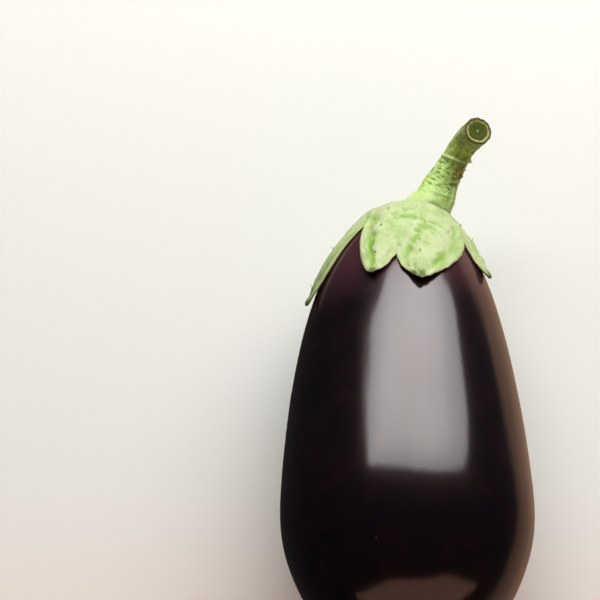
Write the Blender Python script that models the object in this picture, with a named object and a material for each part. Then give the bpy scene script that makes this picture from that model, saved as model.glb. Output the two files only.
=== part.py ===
"""A globe eggplant, as picked, lying on its side.

It has two pieces: the fruit, and the green cap that grew on its neck, whose calyx lobes lie over the
fruit and whose crown runs out into the curved, cut stem. Metres, +Z up. The origin is the middle of the
small flat that the fruit rests on. The fruit's length runs along +Y, from the blossom tip to the stem,
and +X is on the right of someone who looks at it from the tip's side.

Each shape is first made in the fruit's own frame, with the blossom tip at the origin and the fruit's axis
along +Y, and then leant and lowered onto the surface. Angles round the axis start at the top and grow
towards +X.
"""

import math
import random
from collections import namedtuple

import bmesh
import bpy
import numpy as np
from mathutils import Matrix, Vector

# The fruit's size and pose
FRUIT_LENGTH = 0.177
BELLY_RADIUS = 0.0473
BELLY_FROM_TIP = 0.0507
LEAN = math.radians(6.0)  # the neck is thinner than the belly, so the stem end lies lower
FLAT_DEPTH = 0.0008  # how much the fruit's weight has flattened it where it rests

# How round each half of the outline is, from the belly to the tip and from the belly to the neck
TIP_SHAPE = (1.6, 2.54)
NECK_SHAPE = (1.5, 3.28)
ROUNDING = 0.016  # how far each way the outline is averaged, so that its halves meet smoothly
ROUNDING_SAMPLES = (-1.0, -0.75, -0.5, -0.25, 0.0, 0.25, 0.5, 0.75, 1.0)
NECK_BEND = Vector((0.003, 0.0, 0.001))  # how far the neck's end bends off the straight axis
BEND_POWER = 6  # how near the end the bend sets in

# The fruit is a little out of round: (lobes round the axis, share of the radius, angle of the first)
BELLY_WAVES = ((2, 0.004, 0.6), (3, 0.003, 1.9))
NECK_WAVE = (5, 0.008, 0.35)

# The scar of the flower at the tip: a shallow dimple round a small button
SCAR_DIMPLE = 0.0016
SCAR_RADIUS = 0.0075
SCAR_BUTTON = 0.0008
SCAR_BUTTON_RADIUS = 0.0022

# The calyx. A lobe has the direction of its tip and its reach from the middle of the crown, both as laid
# out flat, how far its tip lifts off the skin, and how far its two sides swell out. A notch lies before
# each lobe.
Lobe = namedtuple("Lobe", "angle reach lift swell_before swell_after")
Notch = namedtuple("Notch", "angle reach")
LOBES = (
    Lobe(-69, 0.064, 0.0018, 0.006, 0.001),
    Lobe(-19, 0.063, 0.0020, 0.004, -0.003),
    Lobe(8, 0.0665, 0.0018, 0.001, 0.0062),
    Lobe(62, 0.0535, 0.0016, 0.001, 0.005),
    Lobe(112, 0.048, 0.0010, 0.005, 0.005),
    Lobe(162, 0.047, 0.0004, 0.005, 0.005),
    Lobe(-146, 0.049, 0.0004, 0.005, 0.005),
)
NOTCHES = (
    Notch(-108, 0.030),
    Notch(-38, 0.028),
    Notch(-6, 0.052),
    Notch(48, 0.037),
    Notch(86, 0.028),
    Notch(137, 0.027),
    Notch(-171, 0.029),
)
SIDE_COLUMNS = 7  # columns of faces from a notch to a tip
SHEET_ROWS = 13
CROWN_RING = 0.0095  # where the calyx meets the stem, from the crown's middle
INNER_RING = 0.0050
SKIN_GAP = 0.00035
LOBE_THICKNESS = 0.0010
EDGE_SHARE = 0.65  # how thick the edge is, as a share of the lobe
EDGE_POWER = 8
INNER_EDGE = 0.985  # where the inner face turns up to the edge, as a share of a column

# The sides of a lobe are curves. How far each end's handle reaches along the lobe, as a share of the side,
# and how far the tip's handle stands out sideways, as a share of the side and of its swell.
ROOT_HANDLE = 0.42
TIP_HANDLE = 0.06
TIP_SPREAD = 0.17
TIP_SWELL = 0.35

# The crown is fleshy round the stem and thins to the lobes, which have a rib to each tip and folds between
CROWN_THICKNESS = 0.0037
CROWN_REACH = 0.0130
CROWN_FADE = 0.0085
RIB_HEIGHT = 0.0005
RIB_WIDTH = 0.28
RIB_MIDDLE = 0.62
RIB_SPREAD = 0.42
FOLD_DEPTH = 0.0012
FOLD_WIDTH = 0.30
FOLD_START = 0.50

# The stem's centreline, from the neck's end, in the fruit's frame
STEM_LINE = (
    Vector((0.0030, 0.0040, 0.0005)),
    Vector((0.0096, 0.0091, 0.0020)),
    Vector((0.0140, 0.0173, 0.0055)),
    Vector((0.0187, 0.0244, 0.0105)),
    Vector((0.0231, 0.0274, 0.0195)),
    Vector((0.0267, 0.0248, 0.0318)),
)
STEM_START = 0.22  # where the stem's first ring is, along the centreline
STEM_ROWS = 14
STEM_BASE_RADIUS = 0.0095
STEM_WAIST_RADIUS = 0.0051
STEM_END_RADIUS = 0.0055
WAIST_PLACE = 0.68
STEM_RIDGES = (6, 0.035)
COLLAR_PLACE = 0.62  # the raised ring of an old joint, along the stem
COLLAR_HEIGHT = 0.0005
COLLAR_WIDTH = 0.035
CUT_BEVEL = 0.0005
CUT_DISH = 0.0006
CUT_RINGS = (0.74, 0.40)

# Prickles: along the ribs, and up the right of the stem
RIB_PRICKLES = (0.30, 0.55, 0.80)
STEM_PRICKLES = (0.34, 0.46, 0.58, 0.66, 0.80)
STEM_PRICKLE_ANGLES = (0.6, 2.6)
PRICKLE_LENGTHS = (0.0010, 0.0018)
PRICKLE_RADIUS = 0.00042
PRICKLE_POINT = 0.12  # how wide the point is, as a share of the foot
PRICKLE_ROOT = 0.0007
PRICKLE_SIDES = 5
PRICKLE_SHIFT = 0.08
PRICKLE_SLANT = 0.5
RANDOM_SEED = 12

FRUIT_COLUMNS = 56
FRUIT_ROWS = 40
TIP_ROWS = 0.65  # how strongly the rows crowd towards the tip's scar
OUTLINE_SAMPLES = 4000
STEP = 0.0004  # how far apart two points are taken to find a slope


def clear_scene():
    for obj in list(bpy.data.objects):
        bpy.data.objects.remove(obj)


def smooth(share):
    share = min(max(share, 0.0), 1.0)
    return share * share * (3 - 2 * share)


def bell(distance, width):
    return math.exp(-((distance / width) ** 2))


def material(name, colour, roughness):
    made = bpy.data.materials.new(name)
    made.use_nodes = True
    shader = made.node_tree.nodes["Principled BSDF"]
    shader.inputs["Base Color"].default_value = (*colour, 1.0)
    shader.inputs["Roughness"].default_value = roughness
    shader.inputs["Metallic"].default_value = 0.0
    made.diffuse_color = (*colour, 1.0)
    return made


# The fruit's surface


def neck_share(station):
    """How far a station is from the belly towards the stem end, from 0 to 1."""
    return min(max((station - BELLY_FROM_TIP) / (FRUIT_LENGTH - BELLY_FROM_TIP), 0.0), 1.0)


def oval_radius(station):
    """Two halves of an oval that meet at the belly."""
    if station < BELLY_FROM_TIP:
        share, (power, root) = 1 - station / BELLY_FROM_TIP, TIP_SHAPE
    else:
        share, (power, root) = neck_share(station), NECK_SHAPE
    return BELLY_RADIUS * max(1 - max(share, 0.0) ** power, 0.0) ** (1 / root)


def outline_radius(station):
    """The fruit's mean radius at a distance from its tip: the oval, averaged over its neighbourhood."""
    reach = min(ROUNDING, station / 2, (FRUIT_LENGTH - station) / 2)
    weights = [1.05 - share * share for share in ROUNDING_SAMPLES]
    radii = [oval_radius(station + share * reach) for share in ROUNDING_SAMPLES]
    return sum(weight * radius for weight, radius in zip(weights, radii)) / sum(weights)


def out_of_round(station, angle):
    swell = sum(size * math.cos(count * (angle - first)) for count, size, first in BELLY_WAVES)
    count, size, first = NECK_WAVE
    return 1 + swell + size * neck_share(station) ** 2 * math.cos(count * (angle - first))


def skin_point(station, angle):
    """A point on the fruit, in its own frame."""
    radius = outline_radius(station) * out_of_round(station, angle)
    bend = NECK_BEND * neck_share(station) ** BEND_POWER
    dent = 0.0
    if station < BELLY_FROM_TIP:
        dent = SCAR_DIMPLE * bell(radius, SCAR_RADIUS) - SCAR_BUTTON * bell(radius, SCAR_BUTTON_RADIUS)
    return Vector((bend.x + radius * math.sin(angle), station + dent, bend.z + radius * math.cos(angle)))


def outline_table():
    """Stations from tip to neck, and how far each is from the stem end along the outline."""
    turn = np.linspace(0, math.pi, OUTLINE_SAMPLES)
    stations = FRUIT_LENGTH * (1 - np.cos(turn)) / 2
    radii = np.array([outline_radius(station) for station in stations])
    steps = np.hypot(np.diff(stations), np.diff(radii))
    from_tip = np.concatenate([[0.0], np.cumsum(steps)])
    return stations, from_tip[-1] - from_tip


STATIONS, WAY_FROM_STEM = outline_table()


def station_at(way):
    """The station that lies this far from the stem end along the outline."""
    return float(np.interp(-way, -WAY_FROM_STEM, STATIONS))


def laid_flat(angle, reach):
    """A place on the neck as if its skin were laid flat: across, and towards the top side."""
    return Vector((reach * math.sin(angle), reach * math.cos(angle)))


def skin_at(place):
    return skin_point(station_at(place.length), math.atan2(place.x, place.y))


def outward(place):
    """The direction that points straight off the skin at a flat-laid place."""
    across = skin_at(place + Vector((STEP, 0))) - skin_at(place - Vector((STEP, 0)))
    along = skin_at(place + Vector((0, STEP))) - skin_at(place - Vector((0, STEP)))
    return along.cross(across).normalized()


def above_skin(place, height):
    return skin_at(place) + outward(place) * height


# Putting the pieces on the surface


def resting_matrix():
    """Leans the fruit, and puts its lowest point just under the surface, at the origin."""
    lean = Matrix.Rotation(-LEAN, 4, "X")
    lowest = min((lean @ skin_point(station, math.pi) for station in STATIONS), key=lambda point: point.z)
    return Matrix.Translation(Vector((-lowest.x, -lowest.y, -lowest.z - FLAT_DEPTH))) @ lean


RESTING = resting_matrix()


def new_object(name, mesh_builder, finish):
    """An object whose mesh is closed, faces out and shades smooth."""
    bmesh.ops.recalc_face_normals(mesh_builder, faces=mesh_builder.faces)
    mesh = bpy.data.meshes.new(name)
    mesh_builder.to_mesh(mesh)
    mesh_builder.free()
    mesh.shade_smooth()
    mesh.materials.append(finish)
    obj = bpy.data.objects.new(name, mesh)
    bpy.context.scene.collection.objects.link(obj)
    return obj


def loft(shape, rings):
    """Joins each ring of vertices to the next with four-sided faces."""
    for lower, upper in zip(rings, rings[1:]):
        for i, corner in enumerate(lower):
            j = (i + 1) % len(lower)
            shape.faces.new((corner, lower[j], upper[j], upper[i]))


def close_with(shape, ring, point):
    """Closes a ring with triangles that meet at one point."""
    middle = shape.verts.new(point)
    for i, corner in enumerate(ring):
        shape.faces.new((corner, ring[(i + 1) % len(ring)], middle))


def ring_of(shape, points):
    return [shape.verts.new(point) for point in points]


# The fruit


def fruit_stations():
    """Stations along the outline, closer together near the scar."""
    whole = WAY_FROM_STEM[0]
    shares = [(row + 1) / (FRUIT_ROWS + 1) for row in range(FRUIT_ROWS)]
    return [station_at(whole * (1 - (1 - TIP_ROWS) * share - TIP_ROWS * share**1.5)) for share in shares]


def make_fruit(finish):
    shape = bmesh.new()
    angles = [math.tau * column / FRUIT_COLUMNS for column in range(FRUIT_COLUMNS)]
    rings = [ring_of(shape, [skin_point(station, angle) for angle in angles]) for station in fruit_stations()]
    loft(shape, rings)
    close_with(shape, rings[0], skin_point(0.0, 0.0))
    close_with(shape, rings[-1], skin_point(FRUIT_LENGTH, 0.0))
    bmesh.ops.transform(shape, matrix=RESTING, verts=shape.verts)
    for vertex in shape.verts:
        vertex.co.z = max(vertex.co.z, 0.0)
    return new_object("fruit", shape, finish)


# The calyx


def turned(angle, towards):
    """The same direction as angle, within half a turn of another."""
    return towards + math.remainder(angle - towards, math.tau)


def bezier(points, share):
    rest = 1 - share
    weights = (rest**3, 3 * rest**2 * share, 3 * rest * share**2, share**3)
    return sum((point * weight for point, weight in zip(points, weights)), Vector((0, 0)))


def lobe_side(lobe, notch, swell, sign):
    """One edge of a lobe, from its notch to its tip, laid flat: (place, crown angle, share across, lobe)."""
    tip_angle = math.radians(lobe.angle)
    notch_angle = turned(math.radians(notch.angle), tip_angle)
    tip = laid_flat(tip_angle, lobe.reach)
    root = laid_flat(notch_angle, notch.reach)
    forward = tip.normalized()
    sideways = Vector((forward.y, -forward.x)) * sign
    length = (tip - root).length
    corners = (
        root,
        root + forward * ROOT_HANDLE * length + sideways * swell,
        tip - forward * TIP_HANDLE * length + sideways * (TIP_SWELL * swell + TIP_SPREAD * length),
        tip,
    )
    side = []
    for step in range(SIDE_COLUMNS):
        share = step / SIDE_COLUMNS
        angle = notch_angle + (tip_angle - notch_angle) * share
        side.append((bezier(corners, share), angle, share, lobe))
    return side


def rim_columns():
    """The whole edge of the calyx, column by column, once round."""
    columns = []
    for i, lobe in enumerate(LOBES):
        before, after = NOTCHES[i], NOTCHES[(i + 1) % len(LOBES)]
        columns += lobe_side(lobe, before, lobe.swell_before, -1)
        tip_angle = math.radians(lobe.angle)
        tip = (laid_flat(tip_angle, lobe.reach), tip_angle, 1.0, lobe)
        columns += [tip, *lobe_side(lobe, after, lobe.swell_after, 1)[:0:-1]]
    return columns


def sheet_place(column, share):
    """A flat-laid place on a column of the sheet, from the crown's ring at 0 to the edge at 1."""
    edge, angle, _, _ = column
    return laid_flat(angle, CROWN_RING).lerp(edge, share)


def sheet_lift(column, share):
    """How far the sheet stands off the skin under it."""
    _, _, across, lobe = column
    return SKIN_GAP + lobe.lift * smooth(across) * share**3


def sheet_thickness(column, share):
    _, _, across, _ = column
    reach = sheet_place(column, share).length
    flesh = bell(max(reach - CROWN_REACH, 0.0), CROWN_FADE)
    rib = RIB_HEIGHT * bell(1 - across, RIB_WIDTH) * bell(share - RIB_MIDDLE, RIB_SPREAD)
    fold = FOLD_DEPTH * bell(across, FOLD_WIDTH) * smooth(share / FOLD_START) * flesh
    edge = 1 - (1 - EDGE_SHARE) * share**EDGE_POWER
    return (LOBE_THICKNESS + CROWN_THICKNESS * flesh + rib - fold) * edge


def sheet_ring(columns, share, outer):
    """A ring of points right round the sheet, on its outer or its inner face."""
    points = []
    for column in columns:
        height = sheet_lift(column, share)
        if outer:
            height += sheet_thickness(column, share)
        points.append(above_skin(sheet_place(column, share), height))
    return points


# The stem


def stem_curve(share):
    """The stem's centreline: a smooth curve through the points of STEM_LINE."""
    spans = len(STEM_LINE) - 1
    place = min(share, 1 - 1e-9) * spans
    i = int(place)
    t = place - i
    before = STEM_LINE[i - 1] if i else STEM_LINE[0] * 2 - STEM_LINE[1]
    start, end = STEM_LINE[i], STEM_LINE[i + 1]
    after = STEM_LINE[i + 2] if i + 2 <= spans else end * 2 - start
    curve = (
        start * 2
        + (end - before) * t
        + (before * 2 - start * 5 + end * 4 - after) * t**2
        + (start * 3 - before - end * 3 + after) * t**3
    ) / 2
    return skin_point(FRUIT_LENGTH, 0.0) + curve


def stem_radius(share, angle):
    base = (STEM_BASE_RADIUS - STEM_WAIST_RADIUS) * (1 - smooth(share / WAIST_PLACE))
    end = (STEM_END_RADIUS - STEM_WAIST_RADIUS) * smooth((share - WAIST_PLACE) / (1 - WAIST_PLACE))
    count, height = STEM_RIDGES
    ridges = 1 + height * math.cos(count * angle) * (1 - 0.7 * share)
    collar = COLLAR_HEIGHT * bell(share - COLLAR_PLACE, COLLAR_WIDTH)
    return (STEM_WAIST_RADIUS + base + end) * ridges + collar


def stem_frames(shares):
    """The centre, side and top directions of each ring, turned along the curve with no twist."""
    frames = []
    forward, side, top = Vector((0, 1, 0)), Vector((1, 0, 0)), Vector((0, 0, 1))
    for share in shares:
        ahead = (stem_curve(share + 0.01) - stem_curve(share - 0.01)).normalized()
        if share > 0.99:
            ahead = (stem_curve(1.0) - stem_curve(0.97)).normalized()
        turn = forward.rotation_difference(ahead)
        side, top, forward = turn @ side, turn @ top, ahead
        frames.append((stem_curve(share), side.copy(), top.copy(), forward.copy()))
    return frames


def stem_ring(columns, frame, share, forward_by=0.0, scale=1.0):
    """A ring round the stem, with one point for each column of the calyx."""
    centre, side, top, forward = frame
    points = []
    for _, angle, _, _ in columns:
        out = side * math.sin(angle) + top * math.cos(angle)
        points.append(centre + forward * forward_by + out * stem_radius(share, angle) * scale)
    return points


def stem_rings(columns):
    """Rings from just above the crown to the cut, and on over the cut's bevel into its dished face."""
    shares = [STEM_START + (1 - STEM_START) * row / (STEM_ROWS - 1) for row in range(STEM_ROWS)]
    frames = stem_frames(shares)
    rings = [stem_ring(columns, frame, share) for frame, share in zip(frames, shares)]
    rings.append(stem_ring(columns, frames[-1], 1.0, CUT_BEVEL, 1 - CUT_BEVEL / STEM_END_RADIUS))
    rings += [stem_ring(columns, frames[-1], 1.0, CUT_BEVEL - CUT_DISH, scale) for scale in CUT_RINGS]
    centre, _, _, forward = frames[-1]
    return rings, centre + forward * (CUT_BEVEL - CUT_DISH)


# Prickles


def prickle(root, direction, length):
    """A thin five-sided spine, its root sunk into what it grows from."""
    shape = bmesh.new()
    turn = Vector((0, 0, 1)).rotation_difference(direction).to_matrix().to_4x4()
    height = length + PRICKLE_ROOT
    middle = root + direction * (height / 2 - PRICKLE_ROOT)
    bmesh.ops.create_cone(
        shape,
        cap_ends=True,
        segments=PRICKLE_SIDES,
        radius1=PRICKLE_RADIUS,
        radius2=PRICKLE_RADIUS * PRICKLE_POINT,
        depth=height,
        matrix=Matrix.Translation(middle) @ turn,
    )
    return shape


def rib_prickles(columns, chance):
    """(root, direction) of the prickles along each rib that stands clear of the skin."""
    places = []
    for column in columns:
        _, _, across, lobe = column
        if across < 1.0 or lobe.lift < LOBE_THICKNESS / 2:
            continue
        for share in RIB_PRICKLES:
            share += chance.uniform(-PRICKLE_SHIFT, PRICKLE_SHIFT)
            place = sheet_place(column, share)
            root = above_skin(place, sheet_lift(column, share) + sheet_thickness(column, share))
            slant = Vector([chance.uniform(-PRICKLE_SLANT, PRICKLE_SLANT) for _ in range(3)])
            places.append((root, (outward(place) + slant).normalized()))
    return places


def stem_prickles(chance):
    """(root, direction) of the prickles up the stem."""
    places = []
    for share, (centre, side, top, forward) in zip(STEM_PRICKLES, stem_frames(STEM_PRICKLES)):
        angle = chance.uniform(*STEM_PRICKLE_ANGLES)
        out = side * math.sin(angle) + top * math.cos(angle)
        root = centre + out * stem_radius(share, angle)
        places.append((root, (out + forward * PRICKLE_SLANT).normalized()))
    return places


def fuse(body, others):
    """Joins other objects onto a body with one Boolean union, and removes them."""
    group = bpy.data.collections.new("joined onto " + body.name)
    bpy.context.scene.collection.children.link(group)
    for other in others:
        bpy.context.scene.collection.objects.unlink(other)
        group.objects.link(other)
    union = body.modifiers.new("union", "BOOLEAN")
    union.operation = "UNION"
    union.operand_type = "COLLECTION"
    union.collection = group
    union.solver = "EXACT"
    bpy.context.view_layer.objects.active = body
    bpy.ops.object.modifier_apply(modifier=union.name)
    for other in others:
        bpy.data.objects.remove(other)
    bpy.data.collections.remove(group)


def make_cap(finish):
    shape = bmesh.new()
    columns = rim_columns()
    shares = [row / SHEET_ROWS for row in range(SHEET_ROWS + 1)]
    stem_points, cut_middle = stem_rings(columns)
    stem = [ring_of(shape, points) for points in stem_points]
    outer = [ring_of(shape, sheet_ring(columns, share, True)) for share in shares]
    inner = [ring_of(shape, sheet_ring(columns, share, False)) for share in (INNER_EDGE, *shares[-2::-1])]
    pole = [above_skin(laid_flat(angle, INNER_RING), SKIN_GAP) for _, angle, _, _ in columns]
    inner.append(ring_of(shape, pole))
    loft(shape, stem[::-1] + outer + inner)
    close_with(shape, stem[-1], cut_middle)
    close_with(shape, inner[-1], sum(pole, Vector((0, 0, 0))) / len(pole))
    bmesh.ops.triangulate(shape, faces=shape.faces)
    bmesh.ops.transform(shape, matrix=RESTING, verts=shape.verts)
    cap = new_object("calyx_and_stem", shape, finish)
    chance = random.Random(RANDOM_SEED)
    prickles = []
    for root, direction in rib_prickles(columns, chance) + stem_prickles(chance):
        spine = prickle(root, direction, chance.uniform(*PRICKLE_LENGTHS))
        bmesh.ops.transform(spine, matrix=RESTING, verts=spine.verts)
        prickles.append(new_object("prickle", spine, finish))
    fuse(cap, prickles)


def main():
    clear_scene()
    make_fruit(material("aubergine_skin", (0.022, 0.008, 0.016), 0.18))
    make_cap(material("calyx_green", (0.42, 0.58, 0.20), 0.62))


main()
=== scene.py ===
"""A globe eggplant as picked, lying on its side on a pale floor in soft studio light.

It has two pieces. The fruit is a near-black glossy berry. The cap grew on its neck: green calyx lobes that lie over
the fruit, and a fleshy crown that runs out into the curved, cut stem. Metres, +Z up. Both pieces are drawn from the
rules that shaped the solids, with finer steps and with the low relief that the solids leave out.

Each shape is first made in the fruit's own frame, with the blossom tip at the origin and the fruit's axis along +Y,
and then leant and lowered onto the floor. Angles round the axis start at the top and grow towards +X.
"""

import logging
import math
import random
from dataclasses import dataclass, field
from enum import Enum
from functools import cached_property

import bmesh
import bpy
import numpy as np
from mathutils import Matrix, Vector, noise


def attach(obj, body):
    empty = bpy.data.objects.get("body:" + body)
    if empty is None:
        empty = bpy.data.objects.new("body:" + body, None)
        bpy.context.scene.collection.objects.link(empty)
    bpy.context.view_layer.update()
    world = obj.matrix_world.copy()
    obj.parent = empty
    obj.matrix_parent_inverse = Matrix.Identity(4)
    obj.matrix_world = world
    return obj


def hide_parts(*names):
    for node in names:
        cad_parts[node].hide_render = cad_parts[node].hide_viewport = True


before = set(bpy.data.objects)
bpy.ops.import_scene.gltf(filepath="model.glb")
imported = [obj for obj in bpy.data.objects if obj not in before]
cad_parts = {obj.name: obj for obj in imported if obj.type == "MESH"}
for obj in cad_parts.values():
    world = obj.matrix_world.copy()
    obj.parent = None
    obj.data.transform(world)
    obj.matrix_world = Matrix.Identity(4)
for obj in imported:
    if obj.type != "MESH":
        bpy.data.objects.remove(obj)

LOG = logging.getLogger("eggplant")
MM = 0.001
NOISE_GAIN = 1.6  # brings Blender's noise to about -1 to 1
MIX_INPUTS, MIX_OUTPUT = (6, 7), 2  # the numbers of a mix node's colour sockets


class Slot(Enum):
    """The record's two material slots."""

    SKIN = "aubergine_skin"
    GREEN = "calyx_green"


class Seed(Enum):
    """Which noise of many each kind of unevenness uses."""

    SKIN_SWELL = 4.7
    SKIN_CREASE = 31.3
    EDGE = 8.1
    FLUTTER = 15.2
    PUCKER = 22.0
    WRINKLE = 40.5
    WAVER_X = 6.6
    WAVER_Y = 71.3
    BROKEN = 2.4
    RAGGED = 91.0
    RIDGE = 12.0
    TORN = 3.3
    CRACK = 60.0
    SCAB = 17.7
    MOTTLE = 83.1
    CUT = 50.0


def linear(hex_colour: str) -> tuple[float, float, float, float]:
    """Turns an sRGB hex colour into linear light.

    Args:
        hex_colour: Six hex digits after a hash.

    Returns:
        Red, green, blue and an opaque alpha.
    """
    parts = [int(hex_colour[i : i + 2], 16) / 255 for i in (1, 3, 5)]
    lit = [c / 12.92 if c <= 0.04045 else ((c + 0.055) / 1.055) ** 2.4 for c in parts]
    return (*lit, 1.0)


def smooth(share: np.ndarray) -> np.ndarray:
    """Eases from 0 to 1, level at both ends."""
    share = np.clip(share, 0.0, 1.0)
    return share * share * (3 - 2 * share)


def bell(distance: np.ndarray, width: float) -> np.ndarray:
    """A smooth bump of height 1 that has faded to a third at its width."""
    return np.exp(-((distance / width) ** 2))


def ripple(points: np.ndarray, pitch: float | tuple[float, float, float], seed: Seed) -> np.ndarray:
    """Smooth noise, about -1 to 1, at each point.

    Args:
        points: Places, one a row.
        pitch: The size of its swells along the three axes, in the points' own unit.
        seed: Which noise of many.

    Returns:
        One value for each point.
    """
    scaled = np.atleast_2d(points) / np.asarray(pitch, float) + seed.value
    return NOISE_GAIN * np.array([noise.noise(Vector(place)) for place in scaled])


def add(tree: bpy.types.NodeTree, kind: str, settings: dict | None = None, links: dict | None = None) -> bpy.types.Node:
    """Adds one node to a material.

    Args:
        tree: The material's node tree.
        kind: The node's Blender type.
        settings: Values by the name of a property or an input, and "stops" for a colour ramp.
        links: Sockets that feed the node's inputs, by the input's name or number.

    Returns:
        The new node.
    """
    node = tree.nodes.new(kind)
    for name, value in (settings or {}).items():
        if name == "stops":
            ramp = node.color_ramp.elements
            while len(ramp) < len(value):
                ramp.new(0.5)
            for stop, (place, colour) in zip(ramp, value):
                stop.position, stop.color = place, colour
        elif isinstance(name, str) and hasattr(node, name):
            setattr(node, name, value)
        else:
            node.inputs[name].default_value = value
    for name, socket in (links or {}).items():
        tree.links.new(socket, node.inputs[name])
    return node


def painted(tree: bpy.types.NodeTree, name: str) -> bpy.types.NodeSocket:
    """The value that the mesh has painted on it under a name."""
    return add(tree, "ShaderNodeAttribute", {"attribute_name": name}).outputs["Fac"]


def grain(
    tree: bpy.types.NodeTree, where: bpy.types.NodeSocket, pitch: float, detail: float, roughness: float = 0.5
) -> bpy.types.NodeSocket:
    """Noise in space, about 0 to 1.

    Args:
        tree: The material's node tree.
        where: The coordinates.
        pitch: The size of its swells in metres.
        detail: How many finer layers it has.
        roughness: How strong the finer layers are.

    Returns:
        The noise's value.
    """
    settings = {"Scale": 1 / pitch, "Detail": detail, "Roughness": roughness}
    return add(tree, "ShaderNodeTexNoise", settings, {"Vector": where}).outputs["Fac"]


def span(
    tree: bpy.types.NodeTree,
    value: bpy.types.NodeSocket,
    start: float,
    end: float,
    most: float = 1.0,
    kind: str = "LINEAR",
) -> bpy.types.NodeSocket:
    """How far a value is on its way between two others.

    Args:
        tree: The material's node tree.
        value: The value.
        start: Where the result is 0.
        end: Where the result is at its most.
        most: The highest result.
        kind: How the result rises between them.

    Returns:
        The result, which stays within its limits.
    """
    settings = {"interpolation_type": kind, "From Min": start, "From Max": end, "To Max": most}
    return add(tree, "ShaderNodeMapRange", settings, {"Value": value}).outputs["Result"]


def ramp(
    tree: bpy.types.NodeTree, value: bpy.types.NodeSocket, stops: tuple[tuple[float, str], ...]
) -> bpy.types.NodeSocket:
    """A colour that changes with a value, through stops of a place and a hex colour each."""
    settings = {"stops": [(place, linear(tone)) for place, tone in stops]}
    return add(tree, "ShaderNodeValToRGB", settings, {"Fac": value}).outputs["Color"]


def blend(
    tree: bpy.types.NodeTree,
    share: bpy.types.NodeSocket,
    base: bpy.types.NodeSocket | str,
    tone: bpy.types.NodeSocket | str,
) -> bpy.types.NodeSocket:
    """Mixes a tone into a colour.

    Args:
        tree: The material's node tree.
        share: How much of the tone there is.
        base: The colour where the share is 0, as a socket or in hex.
        tone: The colour where the share is 1, as a socket or in hex.

    Returns:
        The mixed colour.
    """
    settings, links = {"data_type": "RGBA"}, {0: share}
    for place, colour in zip(MIX_INPUTS, (base, tone)):
        if isinstance(colour, str):
            settings[place] = linear(colour)
        else:
            links[place] = colour
    return add(tree, "ShaderNodeMix", settings, links).outputs[MIX_OUTPUT]


def bump(
    tree: bpy.types.NodeTree,
    height: bpy.types.NodeSocket,
    distance: float,
    under: bpy.types.NodeSocket | None = None,
) -> bpy.types.NodeSocket:
    """The normal of a rough surface.

    Args:
        tree: The material's node tree.
        height: The roughness, from 0 to 1.
        distance: Its height in metres.
        under: The normal of a coarser roughness below it.

    Returns:
        The normal.
    """
    links = {"Height": height} | ({"Normal": under} if under else {})
    return add(tree, "ShaderNodeBump", {"Distance": distance}, links).outputs[0]


def surface(tree: bpy.types.NodeTree, settings: dict, links: dict) -> None:
    """Ends a material with a principled shader."""
    shader = add(tree, "ShaderNodeBsdfPrincipled", settings, links)
    add(tree, "ShaderNodeOutputMaterial", None, {"Surface": shader.outputs[0]})


def new_material(name: str) -> tuple[bpy.types.Material, bpy.types.NodeTree]:
    """Makes an empty node material.

    Args:
        name: The material's name.

    Returns:
        The material and its empty node tree.
    """
    made = bpy.data.materials.new(name)
    made.use_nodes = True
    made.node_tree.nodes.clear()
    return made, made.node_tree


def close_rings(rings: int, columns: int) -> list[tuple[int, int, int, int]]:
    """Four-sided faces between closed rings of vertices that follow one another.

    Args:
        rings: How many rings there are.
        columns: How many vertices each ring has.

    Returns:
        The faces, as vertex numbers.
    """
    faces = []
    for ring in range(rings - 1):
        first, second = ring * columns, (ring + 1) * columns
        for i in range(columns):
            j = (i + 1) % columns
            faces.append((first + i, first + j, second + j, second + i))
    return faces


def fan(first: int, columns: int, middle: int) -> list[tuple[int, int, int]]:
    """Triangles that close the ring of vertices starting at first round a middle vertex."""
    return [(first + i, first + (i + 1) % columns, middle) for i in range(columns)]


def grid_faces(steps: int) -> list[tuple[int, int, int, int]]:
    """Four-sided faces of an open sheet whose vertices lie in rows, with the same number of steps each way."""
    count = steps + 1
    return [
        (row * count + i, row * count + i + 1, (row + 1) * count + i + 1, (row + 1) * count + i)
        for row in range(steps)
        for i in range(steps)
    ]


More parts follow.
